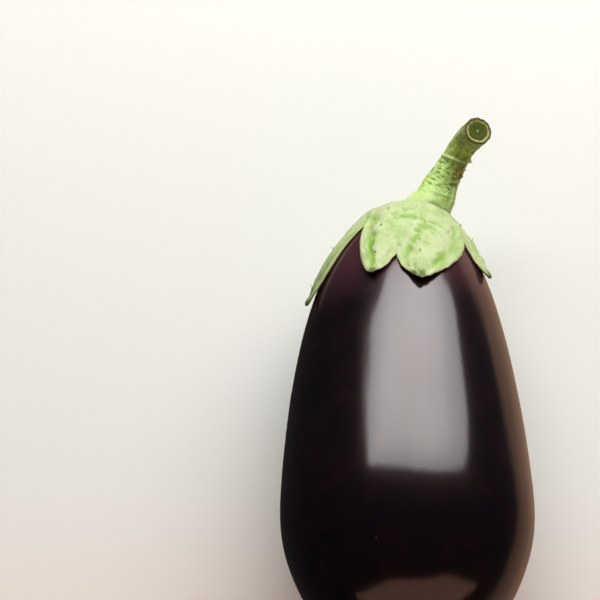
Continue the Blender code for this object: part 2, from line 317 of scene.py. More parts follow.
@dataclass
class Shape:
    """A mesh in the making: points, faces, and a painted value of each kind for every point."""

    points: list[np.ndarray] = field(default_factory=list)
    faces: list[tuple[int, ...]] = field(default_factory=list)
    finishes: list[int] = field(default_factory=list)
    paints: dict[str, list[np.ndarray]] = field(default_factory=dict)
    count: int = 0

    def put(self, points: np.ndarray, faces: list[tuple[int, ...]], finish: int = 0, **paints: np.ndarray) -> None:
        """Adds points and the faces between them.

        Args:
            points: The new points, one a row.
            faces: Faces by the numbers of the new points.
            finish: Which of the piece's materials the faces have.
            paints: Values for each new point; a kind that is left out is 0.
        """
        self.points.append(points)
        self.faces += [tuple(self.count + i for i in face) for face in faces]
        self.finishes += [finish] * len(faces)
        for name in sorted(set(self.paints) | set(paints)):
            kind = self.paints.setdefault(name, [np.zeros(self.count)] if self.count else [])
            value = paints.get(name, 0.0)
            kind.append(np.broadcast_to(np.asarray(value, float), (len(points),)))
        self.count += len(points)

    def make(self, name: str) -> bpy.types.Object:
        """Turns it into an object that faces out and shades smooth.

        Args:
            name: The object's name.

        Returns:
            The object, linked to the scene.
        """
        mesh = bpy.data.meshes.new(name)
        mesh.from_pydata(np.vstack(self.points).tolist(), [], self.faces)
        mesh.polygons.foreach_set("material_index", self.finishes)
        shape = bmesh.new()
        shape.from_mesh(mesh)
        bmesh.ops.recalc_face_normals(shape, faces=shape.faces)
        shape.to_mesh(mesh)
        shape.free()
        for kind, values in self.paints.items():
            layer = mesh.attributes.new(kind, "FLOAT", "POINT")
            layer.data.foreach_set("value", np.concatenate(values).astype(np.float32))
        mesh.shade_smooth()
        obj = bpy.data.objects.new(name, mesh)
        bpy.context.scene.collection.objects.link(obj)
        return obj


def dress(obj: bpy.types.Object, node: str, slot: Slot, *finishes: bpy.types.Material) -> None:
    """Gives a piece its materials and puts it in the place of its solid.

    Args:
        obj: The piece.
        node: The solid that it stands for.
        slot: The record's material slot for the piece; not used.
        finishes: Its materials, in the order of its faces' numbers.
    """
    for finish in finishes:
        obj.data.materials.append(finish)
    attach(obj, "root")
    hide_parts(node)
    LOG.info("%s: %d points, %d faces", obj.name, len(obj.data.vertices), len(obj.data.polygons))


@dataclass(frozen=True)
class FruitForm:
    """The fruit's surface as a rule, the same one that shaped the solid."""

    length: float = 0.177
    belly_radius: float = 0.0473
    belly_from_tip: float = 0.0507
    lean: float = math.radians(6.0)  # the neck is thinner than the belly, so the stem end lies lower
    flat_depth: float = 0.0008  # how much its weight has flattened it where it rests
    tip_shape: tuple[float, float] = (1.6, 2.54)
    neck_shape: tuple[float, float] = (1.5, 3.28)
    rounding: float = 0.016  # how far each way the outline is averaged, so that its halves meet smoothly
    rounding_samples: int = 9
    rounding_weight: float = 1.05  # the middle sample's; the others have less by the square of their share of the way
    neck_bend: tuple[float, float, float] = (0.003, 0.0, 0.001)
    bend_power: float = 6.0
    belly_waves: tuple[tuple[float, float, float], ...] = ((2, 0.004, 0.6), (3, 0.003, 1.9))
    neck_wave: tuple[float, float, float] = (5, 0.008, 0.35)
    scar_dimple: float = 0.0016
    scar_radius: float = 0.0075
    scar_button: float = 0.0008
    scar_button_radius: float = 0.0022
    outline_samples: int = 4000
    step: float = 0.0004  # how far apart two points are taken to find a slope

    def neck_share(self, station: np.ndarray) -> np.ndarray:
        """How far a station is from the belly towards the stem end, from 0 to 1."""
        return np.clip((station - self.belly_from_tip) / (self.length - self.belly_from_tip), 0.0, 1.0)

    def oval(self, station: np.ndarray) -> np.ndarray:
        """The radius of two half ovals that meet at the belly."""
        at_tip = station < self.belly_from_tip
        share = np.where(at_tip, 1 - station / self.belly_from_tip, self.neck_share(station))
        power = np.where(at_tip, self.tip_shape[0], self.neck_shape[0])
        root = np.where(at_tip, self.tip_shape[1], self.neck_shape[1])
        return self.belly_radius * np.maximum(1 - np.maximum(share, 0.0) ** power, 0.0) ** (1 / root)

    def radius(self, station: np.ndarray) -> np.ndarray:
        """The fruit's mean radius at a distance from its tip: the oval, averaged over its neighbourhood."""
        reach = np.minimum(self.rounding, np.minimum(station / 2, (self.length - station) / 2))
        total, weights = 0.0, 0.0
        for share in np.linspace(-1.0, 1.0, self.rounding_samples):
            weight = self.rounding_weight - share * share
            total = total + weight * self.oval(station + share * reach)
            weights += weight
        return total / weights

    def point(self, station: np.ndarray, angle: np.ndarray) -> np.ndarray:
        """Points of the skin in the fruit's own frame.

        Args:
            station: Distances from the tip along the axis.
            angle: Directions round the axis, from the top towards +X.

        Returns:
            One point a row.
        """
        swell = sum(size * np.cos(count * (angle - first)) for count, size, first in self.belly_waves)
        count, size, first = self.neck_wave
        neck = self.neck_share(station)
        round_share = 1 + swell + size * neck**2 * np.cos(count * (angle - first))
        radius = self.radius(station) * round_share
        dimple = self.scar_dimple * bell(radius, self.scar_radius)
        button = self.scar_button * bell(radius, self.scar_button_radius)
        dent = np.where(station < self.belly_from_tip, dimple - button, 0.0)
        bend = neck**self.bend_power
        x = self.neck_bend[0] * bend + radius * np.sin(angle)
        z = self.neck_bend[2] * bend + radius * np.cos(angle)
        return np.stack([x, station + dent, z], axis=-1)

    @cached_property
    def outline(self) -> tuple[np.ndarray, np.ndarray]:
        """Stations from tip to neck, and how far each is from the stem end along the outline."""
        stations = self.length * (1 - np.cos(np.linspace(0, math.pi, self.outline_samples))) / 2
        steps = np.hypot(np.diff(stations), np.diff(self.radius(stations)))
        from_tip = np.concatenate([[0.0], np.cumsum(steps)])
        return stations, from_tip[-1] - from_tip

    def station_at(self, way: np.ndarray) -> np.ndarray:
        """The stations that lie these distances from the stem end along the outline."""
        stations, ways = self.outline
        return np.interp(-way, -ways, stations)

    def skin_at(self, place: np.ndarray) -> np.ndarray:
        """Points of the skin at places on the neck as if it were laid flat: across, and towards the top side."""
        x, y = place[..., 0], place[..., 1]
        return self.point(self.station_at(np.hypot(x, y)), np.arctan2(x, y))

    def outward(self, place: np.ndarray) -> np.ndarray:
        """The directions that point straight off the skin at flat-laid places."""
        aside, ahead = np.array([self.step, 0.0]), np.array([0.0, self.step])
        across = self.skin_at(place + aside) - self.skin_at(place - aside)
        along = self.skin_at(place + ahead) - self.skin_at(place - ahead)
        normal = np.cross(along, across)
        return normal / np.linalg.norm(normal, axis=-1, keepdims=True)

    @cached_property
    def resting(self) -> Matrix:
        """Leans the fruit, and puts its lowest point just under the floor, at the origin."""
        turn = Matrix.Rotation(-self.lean, 4, "X")
        stations = self.outline[0]
        under = self.point(stations, np.full(len(stations), math.pi))
        leant = under @ np.array(turn.to_3x3()).T
        low = leant[leant[:, 2].argmin()]
        return Matrix.Translation((-low[0], -low[1], -low[2] - self.flat_depth)) @ turn

    def at_rest(self, points: np.ndarray) -> np.ndarray:
        """Moves points from the fruit's own frame to where they lie at rest."""
        move = np.array(self.resting)
        return np.asarray(points).reshape(-1, 3) @ move[:3, :3].T + move[:3, 3]


@dataclass
class Fruit:
    """The berry: a smooth, slightly uneven skin with the flower's scar at its tip."""

    form: FruitForm
    columns: int = 288
    rows: int = 230
    tip_rows: float = 0.65  # how strongly the rows crowd towards the scar
    tip_power: float = 1.5
    swell_height: float = 0.10 * MM  # low unevenness left by growth
    swell_pitch: float = 24 * MM
    crease_height: float = 0.035 * MM  # faint lengthwise ridges, as in any berry's skin
    crease_pitch: float = 5 * MM
    crease_stretch: float = 9.0  # how much longer they are than wide
    tip_calm: float = 12 * MM  # how far from either end the skin is smooth
    neck_calm: float = 8 * MM

    def stations(self) -> np.ndarray:
        """Stations along the outline, closer together near the scar."""
        whole = self.form.outline[1][0]
        shares = (np.arange(self.rows) + 1) / (self.rows + 1)
        return self.form.station_at(whole * (1 - (1 - self.tip_rows) * shares - self.tip_rows * shares**self.tip_power))

    def relief(self, station: np.ndarray, angle: np.ndarray, points: np.ndarray) -> np.ndarray:
        """How far the skin stands off its plain form: low swells and faint lengthwise creases.

        Args:
            station: Distance of each point from the tip.
            angle: Direction of each point.
            points: The points of the plain form.

        Returns:
            Heights in metres.
        """
        ends = smooth(station / self.tip_calm) * smooth((self.form.length - station) / self.neck_calm)
        swells = self.swell_height * ripple(points, self.swell_pitch, Seed.SKIN_SWELL)
        round_about = self.form.belly_radius * np.stack([np.sin(angle), np.zeros_like(angle), np.cos(angle)], axis=-1)
        round_about[:, 1] = station / self.crease_stretch
        creases = self.crease_height * ripple(round_about, self.crease_pitch, Seed.SKIN_CREASE)
        return (swells + creases) * ends

    def build(self) -> bpy.types.Object:
        """Builds the berry's mesh.

        Returns:
            The object, with each point's distance from the stem painted on it in metres.
        """
        angles = math.tau * np.arange(self.columns) / self.columns
        station, angle = (grid.ravel() for grid in np.meshgrid(self.stations(), angles, indexing="ij"))
        points = self.form.point(station, angle)
        radial = np.stack([np.sin(angle), np.zeros_like(angle), np.cos(angle)], axis=-1)
        points = points + radial * self.relief(station, angle, points)[:, None]
        ends = self.form.point(np.array([0.0, self.form.length]), np.zeros(2))
        rest = self.form.at_rest(np.vstack([points, ends]))
        rest[:, 2] = np.maximum(rest[:, 2], 0.0)
        last = self.rows * self.columns
        faces = close_rings(self.rows, self.columns) + fan(0, self.columns, last)
        faces += fan(last - self.columns, self.columns, last + 1)
        way = np.interp(np.concatenate([station, [0.0, self.form.length]]), *self.form.outline)
        shape = Shape()
        shape.put(rest, faces, way=way)
        return shape.make("eggplant_fruit")


@dataclass(frozen=True)
class Lobe:
    """One calyx lobe: its tip's direction in degrees, its reach from the crown's middle, and its lift and swell."""

    angle: float
    reach: float
    lift: float
    swell_before: float
    swell_after: float


@dataclass(frozen=True)
class Notch:
    """The notch before a lobe: its direction in degrees and its reach."""

    angle: float
    reach: float


@dataclass(frozen=True)
class Crease:
    """A crease in the calyx: the line that it follows as laid flat, its half width, both in mm, and its depth."""

    line: tuple[tuple[float, float], ...]
    width: float
    depth: float

    def nearness(self, places: np.ndarray) -> np.ndarray:
        """How near each flat-laid place is to the crease's bottom, from 0 to its depth.

        Args:
            places: Flat-laid places in metres, with x and y last.

        Returns:
            One value for each place.
        """
        away = np.full(places.shape[:-1], np.inf)
        ends = np.array(self.line) * MM
        for start, end in zip(ends, ends[1:]):
            step = end - start
            along = np.clip(((places - start) * step).sum(-1) / (step**2).sum(), 0.0, 1.0)
            away = np.minimum(away, np.linalg.norm(places - start - step * along[..., None], axis=-1))
        return self.depth * bell(away, self.width * MM)


@dataclass(frozen=True)
class Crack:
    """A short crack across the stem: its share of the way up, its direction, its half sizes in mm, and its depth."""

    share: float
    angle: float
    reach: float
    width: float
    depth: float


@dataclass
class StemForm:
    """The curved stem as a rule, from the crown to the knife cut."""

    form: FruitForm
    line: tuple[tuple[float, float, float], ...] = (
        (0.0030, 0.0040, 0.0005),
        (0.0096, 0.0091, 0.0020),
        (0.0140, 0.0173, 0.0055),
        (0.0187, 0.0244, 0.0105),
        (0.0231, 0.0274, 0.0195),
        (0.0267, 0.0248, 0.0318),
    )
    start: float = 0.22
    base_radius: float = 0.0095
    waist_radius: float = 0.0051
    end_radius: float = 0.0055
    waist_place: float = 0.68
    ridges: tuple[int, float] = (6, 0.035)
    collar_place: float = 0.635  # the raised ring of an old joint, which runs round a little askew
    collar_tilt: tuple[float, float] = (0.054, 0.98)
    collar_side: float = 0.8  # the direction in which it stands out most
    collar_swing: tuple[float, float] = (0.55, 0.45)  # its mean height, and how much that changes round the stem
    collar_height: float = 0.0010
    collar_width: float = 0.016
    length: float = 0.060
    ridge_fade: float = 0.7  # how much lower the ridges are at the cut
    slope_step: float = 0.01  # the shares over which its direction is taken, along it and at its end
    end_step: float = 0.03

    def centre(self, share: float) -> Vector:
        """A point of the centreline, a smooth curve through the points of its line."""
        points = [Vector(point) for point in self.line]
        spans = len(points) - 1
        place = min(share, 1 - 1e-9) * spans
        i = int(place)
        t = place - i
        before = points[i - 1] if i else points[0] * 2 - points[1]
        start, end = points[i], points[i + 1]
        after = points[i + 2] if i + 2 <= spans else end * 2 - start
        curve = start * 2 + (end - before) * t
        curve += (before * 2 - start * 5 + end * 4 - after) * t**2
        curve += (start * 3 - before - end * 3 + after) * t**3
        neck = self.form.point(np.array([self.form.length]), np.zeros(1))[0]
        return Vector(neck) + curve / 2

    def frames(self, shares: list[float]) -> list[tuple[Vector, Vector, Vector, Vector]]:
        """Frames along the centreline, turned along it with no twist.

        Args:
            shares: Places along the centreline, from 0 to 1.

        Returns:
            The centre and the side, top and forward directions at each place.
        """
        found = []
        forward, side, top = Vector((0, 1, 0)), Vector((1, 0, 0)), Vector((0, 0, 1))
        for share in shares:
            ahead = (self.centre(share + self.slope_step) - self.centre(share - self.slope_step)).normalized()
            if share > 1 - self.slope_step:
                ahead = (self.centre(1.0) - self.centre(1 - self.end_step)).normalized()
            turn = forward.rotation_difference(ahead)
            side, top, forward = turn @ side, turn @ top, ahead
            found.append((self.centre(share), side.copy(), top.copy(), forward.copy()))
        return found

    def radius(self, share: np.ndarray, angle: np.ndarray) -> np.ndarray:
        """The plain stem's radius, with its lengthwise ridges and the ring of the joint."""
        base = (self.base_radius - self.waist_radius) * (1 - smooth(share / self.waist_place))
        end = (self.end_radius - self.waist_radius) * smooth((share - self.waist_place) / (1 - self.waist_place))
        count, height = self.ridges
        ridged = 1 + height * np.cos(count * angle) * (1 - self.ridge_fade * share)
        return (self.waist_radius + base + end) * ridged + self.collar_height * self.collar(share, angle)

    def collar(self, share: np.ndarray, angle: np.ndarray) -> np.ndarray:
        """How high on the joint's ring each place is, from 0 to 1."""
        tilt, turn = self.collar_tilt
        mean, swing = self.collar_swing
        fade = mean + swing * np.cos(angle - self.collar_side)
        return fade * bell(share - self.collar_place - tilt * np.cos(angle - turn), self.collar_width)


@dataclass
class Cap:
    """The calyx, its crown and the stem, which grew as one piece, with their prickles."""

    form: FruitForm
    stem: StemForm
    lobes: tuple[Lobe, ...] = (
        Lobe(-69, 0.064, 0.0018, 0.006, 0.001),
        Lobe(-19, 0.0630, 0.0020, 0.004, -0.003),
        Lobe(8, 0.0665, 0.0018, 0.001, 0.0062),
        Lobe(62, 0.0535, 0.0016, 0.001, 0.005),
        Lobe(112, 0.048, 0.0010, 0.005, 0.005),
        Lobe(162, 0.047, 0.0004, 0.005, 0.005),
        Lobe(-146, 0.049, 0.0004, 0.005, 0.005),
    )
    notches: tuple[Notch, ...] = (
        Notch(-108, 0.030),
        Notch(-38, 0.028),
        Notch(-6, 0.052),
        Notch(48, 0.037),
        Notch(86, 0.028),
        Notch(137, 0.027),
        Notch(-171, 0.029),
    )
    side_columns: int = 22
    sheet_rows: int = 56
    inner_rows: int = 18
    collar_rows: int = 14
    stem_rows: int = 120
    crown_ring: float = 9.5 * MM
    inner_ring: float = 5.0 * MM
    skin_gap: float = 0.35 * MM
    thickness: float = 1.0 * MM
    edge_share: float = 0.65
    edge_power: float = 8.0
    root_handle: float = 0.42
    tip_handle: float = 0.06
    tip_spread: float = 0.17
    tip_swell: float = 0.35
    crown_thickness: float = 3.7 * MM
    crown_reach: float = 13.0 * MM
    crown_fade: float = 8.5 * MM
    rib_height: float = 0.5 * MM
    rib_width: float = 0.28
    rib_middle: float = 0.62
    rib_spread: float = 0.42
    fold_depth: float = 1.2 * MM
    fold_width: float = 0.30
    fold_start: float = 0.50
    # Low relief of the leafy part
    edge_crowding: float = 1.25  # how strongly the rows crowd towards the edge
    leafy_start: float = 3 * MM  # how far out of the crown's ring the leafy part starts
    leafy_reach: float = 9 * MM
    margin_roll: float = 0.30 * MM  # the lobes' edges are a little rolled up
    margin_inset: float = 0.9 * MM
    margin_width: float = 0.8 * MM
    rim_reach: float = 1.5 * MM  # how far inside the edge the relief has its full height
    least_thickness: float = 0.45 * MM
    # Each crease is sunk and painted a deeper green: partly the tissue's own green, partly painted shade in the crease
    creases: tuple[Crease, ...] = (
        # The lobe at the left of the top
        Crease(((-16.4, 34.5), (-17.8, 40.7), (-18.8, 44.9), (-18.7, 48.9), (-18.8, 51.7), (-19.5, 54.5)), 1.6, 1.0),
        Crease(((-15.6, 15.0), (-15.2, 20.0), (-13.1, 24.5)), 1.2, 0.8),
        Crease(((-14.5, 24.9), (-16.6, 31.0)), 1.8, 0.45),
        # Between the two top lobes, and on the crown
        Crease(((-2.2, 28.1), (-0.5, 29.4), (1.4, 28.9), (3.7, 30.5)), 0.9, 1.0),
        Crease(((-7.1, 24.0), (-4.8, 26.8), (-4.0, 30.0)), 0.9, 0.6),
        Crease(((-1.0, 24.4), (-2.8, 21.0)), 0.9, 0.6),
        Crease(((7.0, 31.0), (9.4, 34.1), (13.2, 34.9), (16.5, 36.5)), 0.8, 1.0),
        Crease(((10.4, 31.5), (12.6, 29.9)), 0.9, 0.9),
        Crease(((15.2, 30.2), (19.7, 30.5)), 0.6, 0.7),
        Crease(((4.3, 38.6), (4.9, 41.2)), 1.2, 1.0),
        # The lobe at the right of the top
        Crease(((8.6, 35.5), (6.4, 39.1), (4.8, 42.6), (2.4, 47.8), (0.4, 51.6), (-1.0, 54.0)), 2.1, 0.75),
        Crease(((-0.6, 56.8), (0.8, 60.0)), 1.1, 0.6),
        Crease(((21.2, 22.0), (22.6, 28.0), (24.7, 33.0), (23.9, 40.0), (22.5, 44.0)), 1.5, 0.55),
        Crease(((22.0, 45.0), (20.1, 48.5), (17.9, 53.0), (15.3, 56.4)), 1.7, 1.0),
        Crease(((23.6, 43.0), (22.0, 51.0), (18.8, 56.0)), 2.4, 0.4),
        # The lobes at the left and the right
        # Painted shade along the left lobe's lower side, where its edge curls under, on a shallow crease
        Crease(((-17.6, 21.5), (-21.0, 23.2), (-28.6, 23.6), (-35.0, 23.0), (-43.0, 23.2)), 1.5, 0.7),
        Crease(((-20.0, 12.0), (-28.0, 14.5), (-38.0, 17.0), (-48.0, 19.0)), 1.0, 0.5),
        Crease(((24.8, 12.0), (30.9, 17.5), (36.4, 21.0)), 1.1, 0.6),
        Crease(((26.5, 22.5), (32.0, 25.5), (38.0, 27.6)), 1.0, 0.6),
    )
    crease_depth: float = 0.75 * MM
    crease_start: float = 5 * MM  # how far out of the crown's ring the creases have their full depth
    crease_gain: float = 1.2
    crease_breaks: tuple[float, float, float] = (0.85, 0.45, 0.25)  # how its depth varies: mean, spread and least
    crease_shade_tone: tuple[float, float] = (1.5, 1.5)  # how strongly and how sharply it shows its deeper green and painted shade
    crease_waver: float = 0.8 * MM  # how far a crease wanders off its line
    waver_pitch: float = 2.6 * MM
    broken_pitch: float = 2.2 * MM
    edge_crease: tuple[float, float, float] = (4.2 * MM, 1.2 * MM, 0.35)  # a faint one runs inside every edge
    edge_crease_waver: float = 0.4
    pucker_height: float = 0.32 * MM
    pucker_pitch: float = 5.0 * MM
    wrinkle_height: float = 0.16 * MM
    wrinkle_pitch: float = 1.5 * MM
    wrinkle_shade_mix: tuple[float, float] = (0.6, 0.5)  # how much puckers and wrinkles count in the painted shade of their low parts
    calm_share: float = 0.12  # the part nearest the crown that has less of both
    knobs: tuple[tuple[float, float, float], ...] = (  # their places as laid flat and their radii, in mm
        (-19.8, 58.8, 2.0),
        (4.3, 63.4, 1.6),
        (9.2, 63.6, 2.0),
        # the left lobe's tip, dark as a tip and with painted shade
        (-58.5, 23.0, 2.6),
        (46.5, 25.0, 2.6),
    )
    # Painted shade that darkens the left lobe towards its tip, in the knob tone
    painted_shade_spots: tuple[tuple[float, float, float, float], ...] = (  # the same, and how dark, with no swelling
        (-38.5, 20.5, 4.5, 0.35),
        (-46.5, 21.0, 5.5, 0.65),
        (-54.0, 20.0, 7.0, 1.0),
    )
    tip_knob: float = 0.55 * MM
    tip_strength: float = 1.6
    ragged_pitch: float = 2.0 * MM
    ragged_share: float = 0.4
    edge_wave: float = 0.45 * MM
    edge_pitch: float = 3.2 * MM
    edge_hold: tuple[float, float] = (0.6, 0.1)  # how much less the edge waves at the tips, and how near them
    flutter: float = 0.30 * MM
    flutter_pitch: float = 11 * MM
    flutter_power: int = 4
    lift_power: float = 2.5  # a lobe lifts near its tip, and its sides lie close
    rise_power: int = 3
    # Low relief of the stem
    ridge_height: float = 0.26 * MM
    ridge_pitch: float = 1.9 * MM
    ridge_stretch: float = 5.0  # how much longer they are than wide
    unrolled_radius: float = 1.2  # the radius for which the noises are laid out, in radii of the waist
    mottle_height: float = 0.14 * MM
    mottle_pitch: tuple[float, float, float] = (1.7 * MM, 1.3 * MM, 1.7 * MM)
    mottle_shade_mix: tuple[float, float] = (0.55, 0.35)  # how much mottling and ridges count in the painted shade of their low parts
    crack_depth: float = 0.26 * MM
    crack_waver: float = 0.25 * MM
    crack_waver_pitch: float = 1.6 * MM
    torn_pitch: tuple[float, float, float] = (2.4 * MM, 0.75 * MM, 2.4 * MM)  # small cracks across the skin
    torn_span: tuple[float, float] = (0.12, 0.72)
    torn_depth: float = 0.75
    torn_least: float = 0.45
    torn_range: tuple[float, float, float] = (0.16, 0.60, 0.06)  # deepest between these shares, easing over the last
    # Each crack is sunk and painted dark: the stem's dark tissue there, with painted shade
    cracks: tuple[Crack, ...] = (
        Crack(0.455, -0.47, 1.1, 0.8, 0.9),
        Crack(0.441, 0.05, 1.4, 0.6, 0.8),
        Crack(0.350, 0.05, 1.7, 0.45, 0.9),
        Crack(0.277, 0.16, 1.9, 0.45, 0.8),
        Crack(0.245, 0.84, 1.3, 0.6, 0.7),
        Crack(0.240, 1.41, 1.0, 0.8, 0.7),
        Crack(0.590, -0.30, 1.2, 0.5, 0.8),
        Crack(0.625, 1.20, 1.9, 1.0, 1.0),
        Crack(0.411, 0.72, 1.1, 1.0, 1.0),
        Crack(0.470, 0.72, 1.1, 1.8, 0.7),
    )
    scab_height: float = 1.5 * MM
    scab_place: tuple[float, float] = (0.530, 0.95)
    scab_size: tuple[float, float] = (3.8 * MM, 2.8 * MM)
    scab_pitch: float = 1.2 * MM
    scab_ragged: tuple[float, float] = (0.5, 0.7)
    foot_fade: float = 0.08  # the share over which the relief starts at the stem's foot
    rim_start: float = 0.995  # the stem's last ring has half the relief
    rim_relief: float = 0.5
    cut_height: float = 0.5 * MM
    cut_rough: float = 0.07 * MM
    cut_rough_pitch: float = 0.9 * MM
    cut_profile: tuple[tuple[float, float], ...] = (  # shares of the radius, and heights there
        (0.965, 0.75),
        (0.93, 0.95),
        (0.88, 0.90),
        (0.82, 0.25),
        (0.75, -0.1),
        (0.68, -0.02),
        (0.60, 0.1),
        (0.50, 0.05),
        (0.40, -0.15),
        (0.30, -0.25),
        (0.20, -0.30),
        (0.10, -0.2),
    )
    cut_middle: float = -0.1
    # Prickles, by the rule that placed the solid's
    rib_prickle_shares: tuple[float, ...] = (0.30, 0.55, 0.80)
    stem_prickle_shares: tuple[float, ...] = (0.34, 0.46, 0.58, 0.66, 0.80)
    stem_prickle_angles: tuple[float, float] = (0.6, 2.6)
    prickle_lengths: tuple[float, float] = (1.0 * MM, 1.8 * MM)
    prickle_radius: float = 0.42 * MM
    prickle_shift: float = 0.08
    prickle_slant: float = 0.5
    prickle_seed: int = 12
    spine_sides: int = 10
    spine_profile: tuple[tuple[float, float], ...] = (  # shares of the length, and widths there
        (-0.45, 1.25),
        (0.0, 1.0),
        (0.25, 0.68),
        (0.5, 0.46),
        (0.75, 0.28),
        (0.95, 0.14),
    )
    spine_hook: float = 0.12
    spine_tip_hook: float = 0.13
    spine_root: float = 0.5
    spine_paint: tuple[float, float] = (0.1, 0.45)  # its place between leaf and stem tones, and its paleness
    under_start: tuple[float, float] = (0.985, 0.96)  # how near the edge the inner face starts

    @cached_property
    def columns(self) -> dict[str, np.ndarray]:
        """The calyx's edge, column by column, once round.

        Returns:
            For each column its flat-laid edge place, its direction at the crown, how far it is across its lobe from
            notch to tip, its lobe's lift, and its lobe's flat-laid tip.
        """
        rows: dict[str, list] = {"edge": [], "angle": [], "across": [], "lift": [], "tip": []}
        for i, lobe in enumerate(self.lobes):
            before, after = self.notches[i], self.notches[(i + 1) % len(self.lobes)]
            first = self.side(lobe, before, lobe.swell_before, -1)
            second = self.side(lobe, after, lobe.swell_after, 1)[:0:-1]
            angle = math.radians(lobe.angle)
            tip = Vector((math.sin(angle), math.cos(angle))) * lobe.reach
            for place, direction, across in [*first, (tip, angle, 1.0), *second]:
                rows["edge"].append(tuple(place))
                rows["angle"].append(direction)
                rows["across"].append(across)
                rows["lift"].append(lobe.lift)
                rows["tip"].append(tuple(tip))
        return {name: np.array(values, float) for name, values in rows.items()}

    def side(self, lobe: Lobe, notch: Notch, swell: float, sign: int) -> list[tuple[Vector, float, float]]:
        """One edge of a lobe, from its notch towards its tip, laid flat.

        Args:
            lobe: The lobe.
            notch: The notch that the edge starts from.
            swell: How far the edge swells out.
            sign: 1 for the edge on the tip's +X side, and -1 for the other.

        Returns:
            The edge's place, its direction at the crown, and its share of the way to the tip.
        """
        tip_angle = math.radians(lobe.angle)
        notch_angle = tip_angle + math.remainder(math.radians(notch.angle) - tip_angle, math.tau)
        tip = Vector((math.sin(tip_angle), math.cos(tip_angle))) * lobe.reach
        root = Vector((math.sin(notch_angle), math.cos(notch_angle))) * notch.reach
        forward = tip.normalized()
        sideways = Vector((forward.y, -forward.x)) * sign
        length = (tip - root).length
        near = root + forward * self.root_handle * length + sideways * swell
        far = tip - forward * self.tip_handle * length
        far += sideways * (self.tip_swell * swell + self.tip_spread * length)
        found = []
        for step in range(self.side_columns):
            t = step / self.side_columns
            place = root * (1 - t) ** 3 + near * 3 * (1 - t) ** 2 * t + far * 3 * (1 - t) * t**2 + tip * t**3
            found.append((place, notch_angle + (tip_angle - notch_angle) * t, t))
        return found

    def wavy_edge(self) -> np.ndarray:
        """The calyx's edge with the small waves of the real one, laid flat."""
        edge = self.columns["edge"]
        outward = edge / np.linalg.norm(edge, axis=1, keepdims=True)
        wave = ripple(np.column_stack([edge, np.zeros(len(edge))]), self.edge_pitch, Seed.EDGE)
        less, near = self.edge_hold
        held = 1 - less * bell(1 - self.columns["across"], near)
        return edge + outward * (self.edge_wave * wave * held)[:, None]

    def places(self, shares: np.ndarray) -> np.ndarray:
        """Flat-laid places from the crown's ring, at share 0, to the edge, at 1, as rows by columns."""
        angle = self.columns["angle"]
        ring = self.crown_ring * np.column_stack([np.sin(angle), np.cos(angle)])
        return ring[None] + (self.wavy_edge() - ring)[None] * shares[:, None, None]

    def lift(self, shares: np.ndarray, places: np.ndarray) -> np.ndarray:
        """How far the sheet stands off the skin under it, with a flutter towards its edge."""
        across, lift = self.columns["across"], self.columns["lift"]
        share = shares[:, None]
        flat = np.dstack([places, np.zeros(places.shape[:2])]).reshape(-1, 3)
        flutter = ripple(flat, self.flutter_pitch, Seed.FLUTTER).reshape(places.shape[:2])
        free = np.clip(lift / self.lobes[1].lift, 0.0, 1.0)
        wave = self.flutter * np.maximum(flutter, 0.0) * share**self.flutter_power * free
        return self.skin_gap + lift * smooth(across) ** self.lift_power * share**self.rise_power + wave

    def body(self, shares: np.ndarray, places: np.ndarray) -> np.ndarray:
        """The sheet's plain thickness: a fleshy crown, a rib to each tip, folds between, and thin edges."""
        across, share = self.columns["across"], shares[:, None]
        flesh = bell(np.maximum(np.hypot(places[..., 0], places[..., 1]) - self.crown_reach, 0.0), self.crown_fade)
        rib = self.rib_height * bell(1 - across, self.rib_width) * bell(share - self.rib_middle, self.rib_spread)
        fold = self.fold_depth * bell(across, self.fold_width) * smooth(share / self.fold_start) * flesh
        edge = 1 - (1 - self.edge_share) * share**self.edge_power
        return (self.thickness + self.crown_thickness * flesh + rib - fold) * edge

    def inset(self, places: np.ndarray) -> np.ndarray:
        """How far each flat-laid place is from the calyx's edge.

        Args:
            places: Flat-laid places, as rows by columns.

        Returns:
            Distances in metres, in the same rows and columns.
        """
        edge = self.wavy_edge()
        start, step = edge, np.roll(edge, -1, axis=0) - edge
        length = (step**2).sum(axis=1)
        found = np.empty(places.shape[:2])
        for row, line in enumerate(places):
            offset = line[:, None] - start[None]
            along = np.clip((offset * step[None]).sum(-1) / length, 0.0, 1.0)
            found[row] = np.linalg.norm(offset - step[None] * along[..., None], axis=-1).min(axis=1)
        return found

    def sheet(self) -> tuple[np.ndarray, dict[str, np.ndarray]]:
        """The calyx's outer face.

        Returns:
            Its points, as rows by columns, and what is painted on them.
        """
        shares = np.linspace(0.0, 1.0, self.sheet_rows + 1)
        shares = 1 - (1 - shares) ** self.edge_crowding
        places = self.places(shares)
        inset = self.inset(places)
        size = places.shape[:2]
        flat = np.dstack([places, np.zeros(size)]).reshape(-1, 3)
        reach = np.hypot(places[..., 0], places[..., 1])
        leafy = smooth((reach - self.crown_ring - self.leafy_start) / self.leafy_reach)
        crease = self.crease(places, flat, inset) * smooth((reach - self.crown_ring) / self.crease_start)
        knob = np.zeros(size)
        ragged = 1 + self.ragged_share * ripple(flat, self.ragged_pitch, Seed.RAGGED).reshape(size)
        for x, y, radius in self.knobs:
            away = np.hypot(places[..., 0] - x * MM, places[..., 1] - y * MM) * ragged
            knob = np.maximum(knob, bell(away, radius * MM))
        tip = np.clip(self.tip_strength * knob, 0.0, 1.0)
